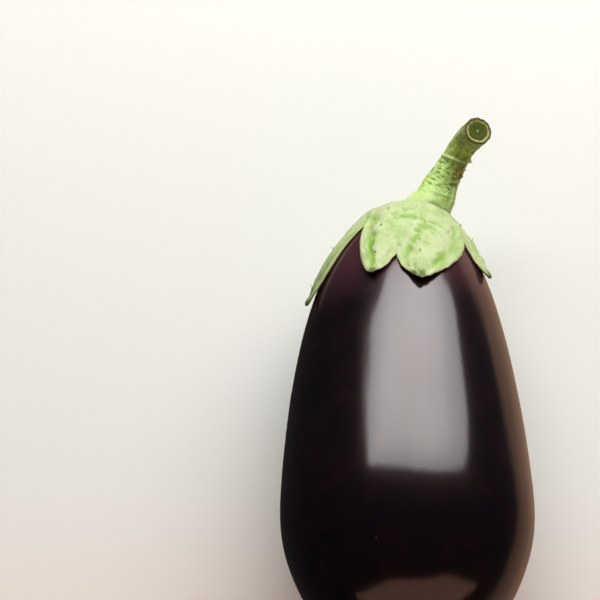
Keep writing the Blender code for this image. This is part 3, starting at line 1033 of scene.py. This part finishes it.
        # painted shade towards the left lobe's tip
        for x, y, radius, share in self.painted_shade_spots:
            away = np.hypot(places[..., 0] - x * MM, places[..., 1] - y * MM)
            tip = np.maximum(tip, share * bell(away, radius * MM))
        calm = smooth(shares / self.calm_share)[:, None]
        pucker = ripple(flat, self.pucker_pitch, Seed.PUCKER).reshape(size)
        wrinkle = ripple(flat, self.wrinkle_pitch, Seed.WRINKLE).reshape(size)
        inside = smooth(inset / self.rim_reach)
        relief = self.margin_roll * bell(inset - self.margin_inset, self.margin_width) * leafy
        relief += self.tip_knob * knob * inside - self.crease_depth * crease
        relief += (self.pucker_height * pucker * calm + self.wrinkle_height * wrinkle * calm) * inside
        thick = np.maximum(self.body(shares, places) + relief, self.least_thickness)
        height = self.lift(shares, places) + thick
        points = self.form.skin_at(places) + self.form.outward(places) * height[..., None]
        strong, sharp = self.crease_shade_tone
        coarse, fine = self.wrinkle_shade_mix
        paints = {
            # the creases' deeper green, with painted shade in them
            "crease": np.clip(strong * crease**sharp, 0.0, 1.0),
            "margin": np.exp(-inset / self.margin_width),
            # dark tips, with painted shade towards the left lobe's tip
            "tip": tip,
            "along": -reach,
            # where the relief is low, this gets painted shade
            "wrinkle": 0.5 + 0.5 * np.clip(coarse * pucker + fine * wrinkle, -1.0, 1.0),
        }
        return points, {name: np.broadcast_to(value, size).ravel() for name, value in paints.items()}

    def crease(self, places: np.ndarray, flat: np.ndarray, inset: np.ndarray) -> np.ndarray:
        """How deep in a crease each place of the calyx's outer face is.

        Args:
            places: Flat-laid places, as rows by columns.
            flat: The same places, one a row, with a third coordinate of 0.
            inset: How far each place is from the calyx's edge.

        Returns:
            Values from 0 to 1, in the same rows and columns.
        """
        size = places.shape[:2]
        seeds = Seed.WAVER_X, Seed.WAVER_Y
        waver = np.stack([ripple(flat, self.waver_pitch, seed).reshape(size) for seed in seeds], axis=-1)
        wavered = places + self.crease_waver * waver
        far, width, depth = self.edge_crease
        found = depth * bell(inset - far * (1 + self.edge_crease_waver * waver[..., 0]), width)
        for crease in self.creases:
            found = np.maximum(found, crease.nearness(wavered))
        broken = ripple(flat, self.broken_pitch, Seed.BROKEN).reshape(size)
        mean, spread, least = self.crease_breaks
        return np.minimum(self.crease_gain * found * np.clip(mean + spread * broken, least, 1.0), 1.0)

    def underside(self) -> np.ndarray:
        """The calyx's inner face from its edge inwards, as rows by columns."""
        first, second = self.under_start
        shares = np.append(first, np.linspace(second, 0.0, self.inner_rows))
        places = self.places(shares)
        inner = self.form.skin_at(places) + self.form.outward(places) * self.lift(shares, places)[..., None]
        angle = self.columns["angle"]
        pole = self.inner_ring * np.column_stack([np.sin(angle), np.cos(angle)])[None]
        last = self.form.skin_at(pole) + self.form.outward(pole) * self.skin_gap
        return np.vstack([inner, last])

    def stem_relief(self, share: float, angle: np.ndarray) -> tuple[np.ndarray, dict[str, np.ndarray]]:
        """The stem's low relief at one place along it.

        Args:
            share: The place along the centreline.
            angle: Directions round the stem.

        Returns:
            Heights in metres, and what is painted there.
        """
        radius = self.stem.waist_radius * self.unrolled_radius
        along = np.full(len(angle), share * self.stem.length)
        places = np.column_stack([radius * np.sin(angle), along, radius * np.cos(angle)])
        ridge = ripple(places / (1, self.ridge_stretch, 1), self.ridge_pitch, Seed.RIDGE)
        mottle = ripple(places, self.mottle_pitch, Seed.MOTTLE)
        crack = self.crack(share, angle, places)
        place, turn = self.scab_place
        long, wide = self.scab_size
        even, uneven = self.scab_ragged
        rough = 0.5 + 0.5 * ripple(places, self.scab_pitch, Seed.SCAB)
        away = np.hypot((share - place) * self.stem.length / long, self.aside(angle, turn) / wide)
        scab = bell(away, 1.0) * (even + uneven * rough)
        height = self.ridge_height * ridge + self.mottle_height * mottle
        height += self.scab_height * scab * rough - self.crack_depth * crack
        coarse, fine = self.mottle_shade_mix
        wrinkle = 0.5 + 0.5 * np.clip(coarse * mottle + fine * ridge, -1.0, 1.0)
        return height, {"crack": crack, "scab": scab, "wrinkle": wrinkle}

    def aside(self, angle: np.ndarray, turn: float) -> np.ndarray:
        """How far round the stem, in metres, each direction is from another."""
        apart = np.abs(np.remainder(angle - turn + math.pi, math.tau) - math.pi)
        return apart * self.stem.waist_radius * self.unrolled_radius

    def crack(self, share: float, angle: np.ndarray, places: np.ndarray) -> np.ndarray:
        """How deep in a crack each place of one of the stem's rings is.

        Args:
            share: The ring's place along the centreline.
            angle: Directions round the stem.
            places: The same places on a stem of even radius.

        Returns:
            Values from 0 to 1.
        """
        start, end, ease = self.torn_range
        most = smooth(np.array((share - start) / ease)) * (1 - smooth(np.array((share - end) / ease)))
        shallow, deep = self.torn_span
        torn = smooth((ripple(places, self.torn_pitch, Seed.TORN) - shallow) / (deep - shallow))
        crack = self.torn_depth * torn * (self.torn_least + (1 - self.torn_least) * most)
        waver = self.crack_waver * ripple(places, self.crack_waver_pitch, Seed.CRACK)
        for mark in self.cracks:
            up = (share - mark.share) * self.stem.length + waver
            away = np.hypot(up / mark.width, self.aside(angle, mark.angle) / mark.reach)
            crack = np.maximum(crack, mark.depth * bell(away, MM))
        return crack

    def stem_rings(self) -> tuple[np.ndarray, dict[str, np.ndarray], tuple[Vector, Vector, Vector, Vector]]:
        """The stem from just above the crown to its cut.

        Returns:
            Its points, as rows by columns, what is painted on them, and the frame at the cut.
        """
        angle = self.columns["angle"]
        shares = np.linspace(self.stem.start, 1.0, self.stem_rows)
        frames = self.stem.frames(list(shares))
        rings, paints = [], {name: [] for name in ("crack", "scab", "along", "ring", "wrinkle")}
        for share, (centre, side, top, _) in zip(shares, frames):
            height, painted_here = self.stem_relief(share, angle)
            fade = float(smooth(np.array((share - self.stem.start) / self.foot_fade)))
            held = self.rim_relief if share > self.rim_start else 1.0
            radius = self.stem.radius(share, angle) + height * fade * held
            out = np.outer(np.sin(angle), side) + np.outer(np.cos(angle), top)
            rings.append(np.array(centre) + out * radius[:, None])
            painted_here["crack"] = painted_here["crack"] * fade
            painted_here["along"] = np.full(len(angle), share)
            painted_here["ring"] = self.stem.collar(share, angle)
            for name, values in painted_here.items():
                paints[name].append(values)
        return np.array(rings), {name: np.concatenate(values) for name, values in paints.items()}, frames[-1]

    def collar(self, stem: np.ndarray, sheet: np.ndarray) -> np.ndarray:
        """Rings that run smoothly from the stem's foot into the crown.

        Args:
            stem: The stem's rings from its foot up.
            sheet: The calyx's rings from the crown outwards.

        Returns:
            The rings between the two, from the stem down, as rows by columns.
        """
        start, end = stem[0], sheet[0]
        span = np.linalg.norm(end - start, axis=1, keepdims=True)
        leave = stem[0] - stem[3]
        arrive = sheet[2] - sheet[0]
        leave = leave / np.linalg.norm(leave, axis=1, keepdims=True) * span
        arrive = arrive / np.linalg.norm(arrive, axis=1, keepdims=True) * span
        rings = []
        for step in range(1, self.collar_rows):
            t = step / self.collar_rows
            h00, h10 = 2 * t**3 - 3 * t**2 + 1, t**3 - 2 * t**2 + t
            h01, h11 = 3 * t**2 - 2 * t**3, t**3 - t**2
            rings.append(start * h00 + leave * h10 + end * h01 + arrive * h11)
        return np.array(rings)

    def cut(self, rim: np.ndarray, centre: Vector, forward: Vector) -> tuple[np.ndarray, np.ndarray]:
        """The knife cut across the stem: a small bevel and a slightly sunk face with a raised ring of fibres.

        Args:
            rim: The stem's last ring.
            centre: The middle of that ring.
            forward: The direction in which the cut faces.

        Returns:
            Its points, with its middle last, and how far out each is from 0 to 1.
        """
        middle, ahead = np.array(centre), np.array(forward)
        points, out = [], []
        for share, height in self.cut_profile:
            ring = middle + (rim - middle) * share
            rough = ripple(ring, self.cut_rough_pitch, Seed.CUT) * self.cut_rough
            points.append(ring + ahead * (height * self.cut_height + rough)[:, None])
            out.append(np.full(len(rim), share))
        points.append((middle + ahead * self.cut_middle * self.cut_height)[None])
        out.append(np.zeros(1))
        return np.vstack(points), np.concatenate(out)

    def prickles(self) -> list[tuple[Vector, Vector, float]]:
        """Where the prickles stand, by the solid's own rule.

        Returns:
            Each one's root, direction and length, in the fruit's frame.
        """
        chance = random.Random(self.prickle_seed)
        found = []
        tips = [i for i, across in enumerate(self.columns["across"]) if across == 1.0]
        for i in tips:
            if self.columns["lift"][i] < self.thickness / 2:
                continue
            for share in self.rib_prickle_shares:
                moved = share + chance.uniform(-self.prickle_shift, self.prickle_shift)
                shares = np.array([moved])
                places = self.places(shares)
                height = (self.lift(shares, places) + self.body(shares, places))[0, i]
                place = places[:, i]
                up = Vector(self.form.outward(place)[0])
                slant = Vector([chance.uniform(-self.prickle_slant, self.prickle_slant) for _ in range(3)])
                found.append((Vector(self.form.skin_at(place)[0]) + up * height, (up + slant).normalized()))
        frames = self.stem.frames(list(self.stem_prickle_shares))
        for share, (centre, side, top, forward) in zip(self.stem_prickle_shares, frames):
            angle = chance.uniform(*self.stem_prickle_angles)
            out = side * math.sin(angle) + top * math.cos(angle)
            root = centre + out * float(self.stem.radius(share, angle))
            found.append((root, (out + forward * self.prickle_slant).normalized()))
        return [(root, way, chance.uniform(*self.prickle_lengths)) for root, way in found]

    def spine(self, root: Vector, way: Vector, length: float) -> tuple[np.ndarray, list[tuple[int, ...]]]:
        """A thin, slightly hooked spine with its root sunk into what it grows from.

        Args:
            root: Where it leaves the surface.
            way: Its direction.
            length: How far it stands out.

        Returns:
            Its points and faces.
        """
        sides = self.spine_sides
        aside = way.orthogonal().normalized()
        other = way.cross(aside)
        rings = []
        for share, width in self.spine_profile:
            middle = root + way * (share * length) + aside * (self.spine_hook * length * max(share, 0.0) ** 2)
            for i in range(sides):
                turn = math.tau * i / sides
                out = aside * math.cos(turn) + other * math.sin(turn)
                rings.append(middle + out * self.prickle_radius * width)
        rings.append(root + way * length + aside * self.spine_tip_hook * length)
        rings.append(root - way * self.spine_root * length)
        last = sides * len(self.spine_profile)
        faces = close_rings(len(self.spine_profile), sides) + fan(last - sides, sides, last) + fan(0, sides, last + 1)
        return np.array(rings), faces

    def build(self) -> bpy.types.Object:
        """Builds the whole cap as one mesh.

        Returns:
            The object; its faces' second material is the cut.
        """
        count = len(self.columns["angle"])
        sheet, sheet_paints = self.sheet()
        stem, stem_paints, (centre, _, _, forward) = self.stem_rings()
        collar = self.collar(stem, sheet)
        under = self.underside()
        rings = np.vstack([stem[::-1], collar, sheet, under])
        paints = {name: [] for name in ("crease", "margin", "tip", "along", "wrinkle", "crack", "scab", "ring")}
        for name, values in paints.items():
            if name in stem_paints:
                values.append(stem_paints[name].reshape(-1, count)[::-1].ravel())
            else:
                values.append(np.zeros(stem[..., 0].size))
            if name in ("along", "wrinkle"):
                ease = np.linspace(0.0, 1.0, len(collar) + 2)[1:-1]
                ends = stem_paints[name][:count], sheet_paints[name][:count]
                values.append((np.outer(1 - ease, ends[0]) + np.outer(ease, ends[1])).ravel())
            else:
                values.append(np.zeros(collar[..., 0].size))
            values.append(sheet_paints.get(name, np.zeros(sheet[..., 0].size)))
            last = sheet_paints[name].reshape(-1, count)[-1] if name in sheet_paints else np.zeros(count)
            values.append(np.tile(last, len(under)))
        points = rings.reshape(-1, 3)
        faces = close_rings(len(rings), count)
        first_under = (len(rings) - 1) * count
        middle = points[first_under:].mean(axis=0)
        shape = Shape()
        shape.put(
            self.form.at_rest(np.vstack([points, middle[None]])),
            faces + fan(first_under, count, len(points)),
            out=np.ones(len(points) + 1),
            **{name: np.append(np.concatenate(values), 0.0) for name, values in paints.items()},
        )
        self.add_cut(shape, stem[-1], centre, forward)
        along, pale = self.spine_paint
        for root, way, length in self.prickles():
            spine, spine_faces = self.spine(root, way, length)
            shape.put(self.form.at_rest(spine), spine_faces, along=along, ring=pale)
        return shape.make("eggplant_calyx_and_stem")

    def add_cut(self, shape: Shape, rim: np.ndarray, centre: Vector, forward: Vector) -> None:
        """Closes the stem's open end, which is the shape's first ring of points, with the cut.

        Args:
            shape: The cap in the making.
            rim: The stem's last ring, in the fruit's frame.
            centre: The middle of that ring.
            forward: The direction in which the cut faces.
        """
        count = len(rim)
        points, out = self.cut(rim, centre, forward)
        rings = (len(points) - 1) // count
        start = shape.count
        inner = close_rings(rings, count) + fan((rings - 1) * count, count, len(points) - 1)
        shape.put(self.form.at_rest(points), inner, finish=1, out=out, along=np.ones(len(points)))
        shape.faces += [(i, (i + 1) % count, start + (i + 1) % count, start + i) for i in range(count)]
        shape.finishes += [1] * count


@dataclass(frozen=True)
class AubergineSkin:
    """Aubergine skin: a thin, deep purple, nearly black cuticle under a natural wax film, as grown.

    The wax gives a clear, slightly soft mirror over a body so dark that only reflections model it. Tiny bumps of the
    cells under the wax, like orange peel, break up the edges of what it mirrors, and the skin is redder and a little
    lighter where the calyx shaded it.
    """

    body: str = "#08060a"
    blush: str = "#12080a"
    shaded: str = "#3a2026"
    speck: str = "#8a7a72"
    sheen: str = "#e8b0a4"  # the tint of what the cuticle mirrors under the wax
    roughness: float = 0.30
    body_ior: float = 1.46
    body_mirror: float = 0.16
    wax_roughness: float = 0.13
    wax_ior: float = 1.45
    mottle_pitch: float = 9 * MM
    mottle_span: tuple[float, float] = (0.42, 0.72)
    peel_pitch: float = 1.1 * MM
    peel_height: float = 0.010 * MM
    streak_pitch: float = 0.9 * MM
    streak_height: float = 0.006 * MM
    streak_stretch: float = 25.0  # how much longer the streaks are along the fruit than across it
    shade_span: tuple[float, float] = (0.076, 0.042)  # how far from the stem the calyx shaded the skin
    speck_pitch: float = 13 * MM
    speck_span: tuple[float, float] = (0.035, 0.022)  # the specks' edge, as a share of their pitch

    def make(self) -> bpy.types.Material:
        """Builds the material.

        Returns:
            The material of the fruit.
        """
        made, tree = new_material("aubergine skin, wax film")
        where = add(tree, "ShaderNodeTexCoord").outputs["Object"]
        dark, light = self.mottle_span
        colour = ramp(tree, grain(tree, where, self.mottle_pitch, 4.0), ((dark, self.body), (light, self.blush)))
        shade = span(tree, painted(tree, "way"), *self.shade_span, kind="SMOOTHSTEP")
        colour = blend(tree, shade, colour, self.shaded)
        cells = add(tree, "ShaderNodeTexVoronoi", {"Scale": 1 / self.speck_pitch}, {"Vector": where})
        colour = blend(tree, span(tree, cells.outputs["Distance"], *self.speck_span), colour, self.speck)
        along = add(tree, "ShaderNodeMapping", {"Scale": (1.0, 1 / self.streak_stretch, 1.0)}, {"Vector": where})
        streaks = grain(tree, along.outputs[0], self.streak_pitch, 3.0)
        normal = bump(tree, grain(tree, where, self.peel_pitch, 2.0, 0.6), self.peel_height)
        normal = bump(tree, streaks, self.streak_height, normal)
        wax = {
            "Roughness": self.roughness,
            "IOR": self.body_ior,
            "Specular IOR Level": self.body_mirror,
            "Specular Tint": linear(self.sheen),
            "Coat Weight": 1.0,
            "Coat Roughness": self.wax_roughness,
            "Coat IOR": self.wax_ior,
        }
        surface(tree, wax, {"Base Color": colour, "Normal": normal, "Coat Normal": normal})
        return made


@dataclass(frozen=True)
class CalyxGreen:
    """Calyx and stem: fleshy green tissue under a felt of fine hairs, as grown.

    The felt scatters light, so it looks matt and pale on the swells. The creases and cracks show a deeper green of the
    tissue, with painted shade in them, and the low parts of the wrinkles have painted shade too. Edges are cream, tips
    are dark, the left lobe has painted shade towards its tip, and the scab is dry and brown.
    """

    pale: str = "#9ca67a"
    mid: str = "#82985a"
    # the creases: the tissue's deeper green, with painted shade
    deep: str = "#668a1c"
    # dark: blots of the upper stem, and the cracks, where it is also painted shade
    dark: str = "#3f5c16"
    cream: str = "#9a9a6c"
    pale_edge: str = "#c6cc90"  # the stem's ring and the prickles
    dry: str = "#9a8038"
    # the dark tips; towards the left lobe's tip it is painted shade as well
    knob: str = "#425619"
    stem: str = "#a9c973"
    foot: str = "#b3cc82"
    olive: str = "#a9bd52"
    bark: str = "#8c8c44"
    roughness: float = 0.62
    ior: float = 1.4
    felt: float = 0.10
    felt_roughness: float = 0.4
    grain_pitch: float = 0.7 * MM
    grain_height: float = 0.10 * MM
    patch_pitch: float = 6 * MM
    blot_pitch: float = 2.2 * MM
    leaf_span: tuple[float, float] = (0.38, 0.54)
    dull_span: tuple[float, float, float] = (0.52, 0.40, 0.7)  # olive patches on the stem, and how strong at most
    low_shade_span: tuple[float, float, float] = (0.42, 0.12, 0.55)  # painted shade in the low parts of the wrinkles
    blot_span: tuple[float, float, float] = (0.53, 0.38, 0.7)  # dark blots on the upper stem
    fleck_span: tuple[float, float, float] = (0.50, 0.30, 0.6)
    on_stem: tuple[float, float] = (0.0, 0.3)  # from the crown to the stem, as a share of its length
    upper_stem: tuple[float, float] = (0.45, 0.72)

    def stem_tones(self) -> tuple[tuple[float, str], ...]:
        """The stem's tones by the share of its length, from its foot to the cut."""
        return (
            (0.18, self.foot),
            (0.34, self.stem),
            (0.64, self.stem),
            (0.72, self.olive),
            (0.84, self.olive),
            (0.97, self.bark),
        )

    def make(self) -> bpy.types.Material:
        """Builds the material.

        Returns:
            The material of the cap outside the cut.
        """
        made, tree = new_material("calyx, hairy green tissue")
        where = add(tree, "ShaderNodeTexCoord").outputs["Object"]
        along = painted(tree, "along")
        patch = grain(tree, where, self.patch_pitch, 5.0, 0.6)
        low, high = self.leaf_span
        leaf = ramp(tree, patch, ((low, self.mid), (high, self.pale)))
        stem = ramp(tree, along, self.stem_tones())
        stem = blend(tree, span(tree, patch, *self.dull_span), stem, self.olive)
        colour = blend(tree, span(tree, along, *self.on_stem), leaf, stem)
        blots = span(tree, grain(tree, where, self.blot_pitch, 4.0, 0.65), *self.blot_span)
        upper = span(tree, along, *self.upper_stem)
        blot = add(tree, "ShaderNodeMath", {"operation": "MULTIPLY"}, {0: blots, 1: upper}).outputs[0]
        for share, tone in (
            # painted shade: darker where the relief is low
            (span(tree, painted(tree, "wrinkle"), *self.low_shade_span), self.mid),
            (blot, self.dark),
            # the creases: deeper green tissue and painted shade
            (painted(tree, "crease"), self.deep),
            # the cracks: dark tissue with painted shade
            (painted(tree, "crack"), self.dark),
            (painted(tree, "margin"), self.cream),
            (painted(tree, "ring"), self.pale_edge),
            # the dark tips, and painted shade towards the left lobe's tip
            (painted(tree, "tip"), self.knob),
            (painted(tree, "scab"), self.dry),
        ):
            colour = blend(tree, share, colour, tone)
        fine = grain(tree, where, self.grain_pitch, 4.0, 0.7)
        colour = blend(tree, span(tree, fine, *self.fleck_span), colour, self.mid)
        felt = {
            "Roughness": self.roughness,
            "IOR": self.ior,
            "Sheen Weight": self.felt,
            "Sheen Roughness": self.felt_roughness,
        }
        surface(tree, felt, {"Base Color": colour, "Normal": bump(tree, fine, self.grain_height)})
        return made


@dataclass(frozen=True)
class CutStem:
    """The stem's end, cut with a knife: brown dried bark, a cream ring of fibres, and green pith that has darkened."""

    bark: str = "#55522e"
    fibre: str = "#8f8d55"
    pith: str = "#3f4412"
    core: str = "#34430f"
    speck: str = "#9aa070"
    roughness: float = 0.8
    ior: float = 1.4
    mirror: float = 0.2
    rough_pitch: float = 1.1 * MM
    rough_height: float = 0.12 * MM
    unevenness: float = 0.10  # how far the rings wander, as a share of the radius

    def rings(self) -> tuple[tuple[float, str], ...]:
        """The cut's tones by the share of its radius, from its middle out."""
        return (
            (0.0, self.speck),
            (0.08, self.core),
            (0.30, self.core),
            (0.42, self.pith),
            (0.69, self.pith),
            (0.74, self.fibre),
            (0.79, self.fibre),
            (0.87, self.bark),
        )

    def make(self) -> bpy.types.Material:
        """Builds the material.

        Returns:
            The material of the cut face.
        """
        made, tree = new_material("stem, knife cut")
        where = add(tree, "ShaderNodeTexCoord").outputs["Object"]
        rough = grain(tree, where, self.rough_pitch, 4.0)
        limits = {"To Min": -self.unevenness, "To Max": self.unevenness}
        uneven = add(tree, "ShaderNodeMapRange", limits, {"Value": rough}).outputs["Result"]
        place = add(tree, "ShaderNodeMath", {"operation": "ADD"}, {0: painted(tree, "out"), 1: uneven}).outputs[0]
        settings = {"Roughness": self.roughness, "IOR": self.ior, "Specular IOR Level": self.mirror}
        normal = bump(tree, rough, self.rough_height)
        surface(tree, settings, {"Base Color": ramp(tree, place, self.rings()), "Normal": normal})
        return made


@dataclass(frozen=True)
class PaperFloor:
    """Studio paper: smooth, matt and pale, faintly warm, turning to a painted near tone where the light falls off."""

    tone: str = "#c0c0bb"
    painted_near_tone: str = "#cdbcb1"
    unlit: str = "#000000"
    near_reach: tuple[float, float] = (0.02, -0.12)  # where along Y the paper turns to its painted near tone, warmer towards the camera as the light falls off
    roughness: float = 0.9

    def make(self) -> bpy.types.Material:
        """Builds the material, which is dark where nothing is painted on the sheet."""
        made, tree = new_material("studio paper")
        where = add(tree, "ShaderNodeTexCoord").outputs["Object"]
        along = add(tree, "ShaderNodeSeparateXYZ", None, {0: where}).outputs["Y"]
        near = span(tree, along, *self.near_reach, kind="SMOOTHSTEP")
        colour = ramp(tree, near, ((0.0, self.tone), (1.0, self.painted_near_tone)))
        colour = blend(tree, painted(tree, "lit"), self.unlit, colour)
        surface(tree, {"Roughness": self.roughness}, {"Base Color": colour})
        return made


@dataclass(frozen=True)
class Panel:
    """A curved light panel: a sheet of diffusion cloth that arches round the subject at one distance.

    Each column gives its compass direction and the heights of its low and high ends, all in degrees, as seen from the
    fruit. The cloth glows most in its middle, is dimmer and warmer near its edges, and dims towards its high side.
    """

    name: str
    columns: tuple[tuple[float, float, float], ...]
    glow: str
    edge_glow: str
    strength: float
    tint_share: float = 0.45  # the share of the glow from which the cloth has its full tint
    edge_band: float = 2.5  # degrees over which the cloth ends
    soft_band: float = 20.0  # degrees over which it reaches its full glow
    soft_share: float = 0.35  # how much of the glow that band adds
    high_dimming: tuple[float, float, float] = (30.0, 70.0, 0.15)  # from and to these heights, by this share
    side_dimming: tuple[float, float, float] = (0.15, 0.75, 0.0)  # from and to these parts of +X, by this share
    distance: float = 1.3
    centre: tuple[float, float, float] = (0.0, 0.0, 0.08)
    steps: int = 48

    def ways(self) -> np.ndarray:
        """Directions from the fruit to the cloth's points, from its low to its high side, as rows by columns."""
        place = np.linspace(0, len(self.columns) - 1, self.steps + 1)
        azimuth, low, high = (
            np.radians(np.interp(place, np.arange(len(self.columns)), values)) for values in zip(*self.columns)
        )
        share = np.linspace(0, 1, self.steps + 1)[:, None]
        height = low + (high - low) * share
        azimuth = np.broadcast_to(azimuth, height.shape)
        return np.stack([np.sin(azimuth) * np.cos(height), np.cos(azimuth) * np.cos(height), np.sin(height)], axis=-1)

    def glow_share(self, ways: np.ndarray) -> np.ndarray:
        """How brightly each point of the cloth glows, from 0 at its edges to 1.

        Args:
            ways: Directions to the points, as rows by columns.

        Returns:
            The shares, in the same rows and columns.
        """
        rim = np.vstack([ways[0], ways[:, -1], ways[-1][::-1], ways[::-1, 0]])
        inset = np.degrees(np.arccos(np.clip(ways @ rim.T, -1.0, 1.0))).min(axis=-1)
        height = np.degrees(np.arcsin(ways[..., 2]))
        start, end, share = self.high_dimming
        soft = 1 - self.soft_share * (1 - smooth(inset / self.soft_band))
        soft = soft * (1 - share * smooth((height - start) / (end - start)))
        start, end, share = self.side_dimming
        return smooth(inset / self.edge_band) * soft * (1 - share * smooth((ways[..., 0] - start) / (end - start)))

    def build(self) -> bpy.types.Object:
        """Builds the panel with its glowing cloth.

        Returns:
            The panel's object.
        """
        ways = self.ways()
        points = np.array(self.centre) + ways.reshape(-1, 3) * self.distance
        shape = Shape()
        shape.put(points, grid_faces(self.steps), inside=self.glow_share(ways).ravel())
        obj = shape.make(self.name)
        obj.visible_camera = False
        obj.visible_shadow = False
        obj.data.materials.append(self.cloth())
        return obj

    def cloth(self) -> bpy.types.Material:
        """The glowing cloth's material."""
        made, tree = new_material(self.name + " cloth")
        inside = painted(tree, "inside")
        tint = ramp(tree, inside, ((0.0, self.edge_glow), (self.tint_share, self.glow)))
        power = add(tree, "ShaderNodeMath", {"operation": "MULTIPLY", 1: self.strength}, {0: inside})
        shader = add(tree, "ShaderNodeEmission", None, {"Color": tint, "Strength": power.outputs[0]})
        add(tree, "ShaderNodeOutputMaterial", None, {"Surface": shader.outputs[0]})
        return made


@dataclass
class Studio:
    """The pale floor, a painted reflection sheet of shaded floor, the soft light and the camera."""

    floor_half: float = 4.0
    camera_aim: tuple[float, float, float] = (-0.03946, 0.07719, 0.0)
    camera_distance: float = 0.90065
    camera_height: float = math.radians(67.0)
    lens: float = 132.44
    sensor: float = 36.0
    clip: tuple[float, float] = (0.01, 20.0)
    haze: str = "#2b2727"
    # A sheet seen only in reflections: a painted reflection of shaded floor beside the fruit, black beyond its faded
    # edges
    near_floor: tuple[float, float, float, float] = (-0.03, 0.24, -0.30, 0.34)
    near_fade: float = 0.10
    near_left_fade: float = 3.0  # how many times more sharply it fades at its left edge, to a painted black shade in reflections
    near_height: float = 0.0002  # just above the floor
    near_steps: int = 24
    # the sheet's painted reflection: a darker brown floor tone, as the shaded floor beside the fruit
    painted_near_tone: str = "#886854"

    def sheet(
        self, name: str, box: tuple[float, float, float, float], height: float, paper: PaperFloor, fade: float = 0.0
    ) -> bpy.types.Object:
        """A level sheet of studio paper.

        Args:
            name: The object's name.
            box: Its lowest and highest x and its lowest and highest y.
            height: How high it lies.
            paper: Its finish.
            fade: How far inside its edges it reaches its full tone.

        Returns:
            The sheet's object.
        """
        x0, x1, y0, y1 = box
        steps = self.near_steps if fade else 1
        x, y = (grid.ravel() for grid in np.meshgrid(np.linspace(x0, x1, steps + 1), np.linspace(y0, y1, steps + 1)))
        lit = np.ones_like(x)
        if fade:
            for inset in (self.near_left_fade * (x - x0), x1 - x, y - y0, y1 - y):
                lit = lit * smooth(inset / fade)
        shape = Shape()
        shape.put(np.column_stack([x, y, np.full_like(x, height)]), grid_faces(steps), lit=lit)
        obj = shape.make(name)
        obj.data.materials.append(paper.make())
        return obj

    def build(self) -> None:
        """Lays the floor and sets up the lights, the haze and the camera."""
        half = self.floor_half
        floor = self.sheet("studio_floor", (-half, half, -half, half), 0.0, PaperFloor())
        floor.visible_glossy = False
        # The fruit mirrors this painted sheet instead of the floor: painted reflection and painted shade
        paper = PaperFloor(self.painted_near_tone, self.painted_near_tone)
        near = self.sheet("studio_floor_painted_reflection", self.near_floor, self.near_height, paper, self.near_fade)
        near.visible_camera = near.visible_diffuse = near.visible_shadow = False
        main_panel = Panel(
            "studio_main_panel",
            (
                (-53, 43, 49),
                (-47, 39, 53),
                (-42, 32, 58),
                (-36, 27, 61),
                (-29, 24, 64),
                (-19, 21, 66),
                (-5, 18, 68),
                (11, 14, 69),
                (25, 11, 67),
                (38, 10, 64),
                (46, 14, 61),
                (52, 21, 57),
                (57, 28, 51),
                (62, 34, 43),
            ),
            "#ffffff",
            "#b06a58",
            9.6,
            side_dimming=(0.15, 0.75, 0.30),
        ).build()
        front_panel = Panel(
            "studio_front_panel",
            (
                (122, 0, 5),
                (126, 0, 12),
                (132, 0, 24),
                (140, 0, 33),
                (155, 0, 38),
                (175, 0, 41),
                (192, 0, 40),
                (206, 0, 35),
                (215, 0, 24),
                (221, 0, 12),
                (226, 0, 5),
            ),
            "#c89a86",
            "#a87060",
            2.1,
            soft_band=8.0,
            soft_share=0.2,
            high_dimming=(90.0, 91.0, 0.0),
        ).build()
        self.light_haze()
        self.place_camera()
        LOG.info("studio: floor, two panels, haze and camera")

    def light_haze(self) -> None:
        """Fills the studio with a faint even light."""
        world = bpy.data.worlds.new("studio haze")
        world.use_nodes = True
        background = world.node_tree.nodes["Background"]
        background.inputs["Color"].default_value = linear(self.haze)
        bpy.context.scene.world = world
        bpy.context.scene.view_settings.view_transform = "Standard"

    def place_camera(self) -> None:
        """Puts the camera where the photograph was taken from."""
        data = bpy.data.cameras.new("camera")
        data.lens, data.sensor_width = self.lens, self.sensor
        data.clip_start, data.clip_end = self.clip
        camera = bpy.data.objects.new("camera", data)
        back = Vector((0, -math.cos(self.camera_height), math.sin(self.camera_height)))
        camera.location = Vector(self.camera_aim) + back * self.camera_distance
        camera.rotation_euler = (math.pi / 2 - self.camera_height, 0, 0)
        bpy.context.scene.collection.objects.link(camera)
        bpy.context.scene.camera = camera


def main() -> None:
    """Builds each piece, dresses it and sets up the studio."""
    logging.basicConfig(level=logging.INFO, format="%(name)s: %(message)s")
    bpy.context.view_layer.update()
    form = FruitForm()
    fruit = Fruit(form).build()
    dress(fruit, "fruit", Slot.SKIN, AubergineSkin().make())
    cap = Cap(form, StemForm(form)).build()
    dress(cap, "calyx_and_stem", Slot.GREEN, CalyxGreen().make(), CutStem().make())
    Studio().build()


if __name__ == "__main__":
    main()
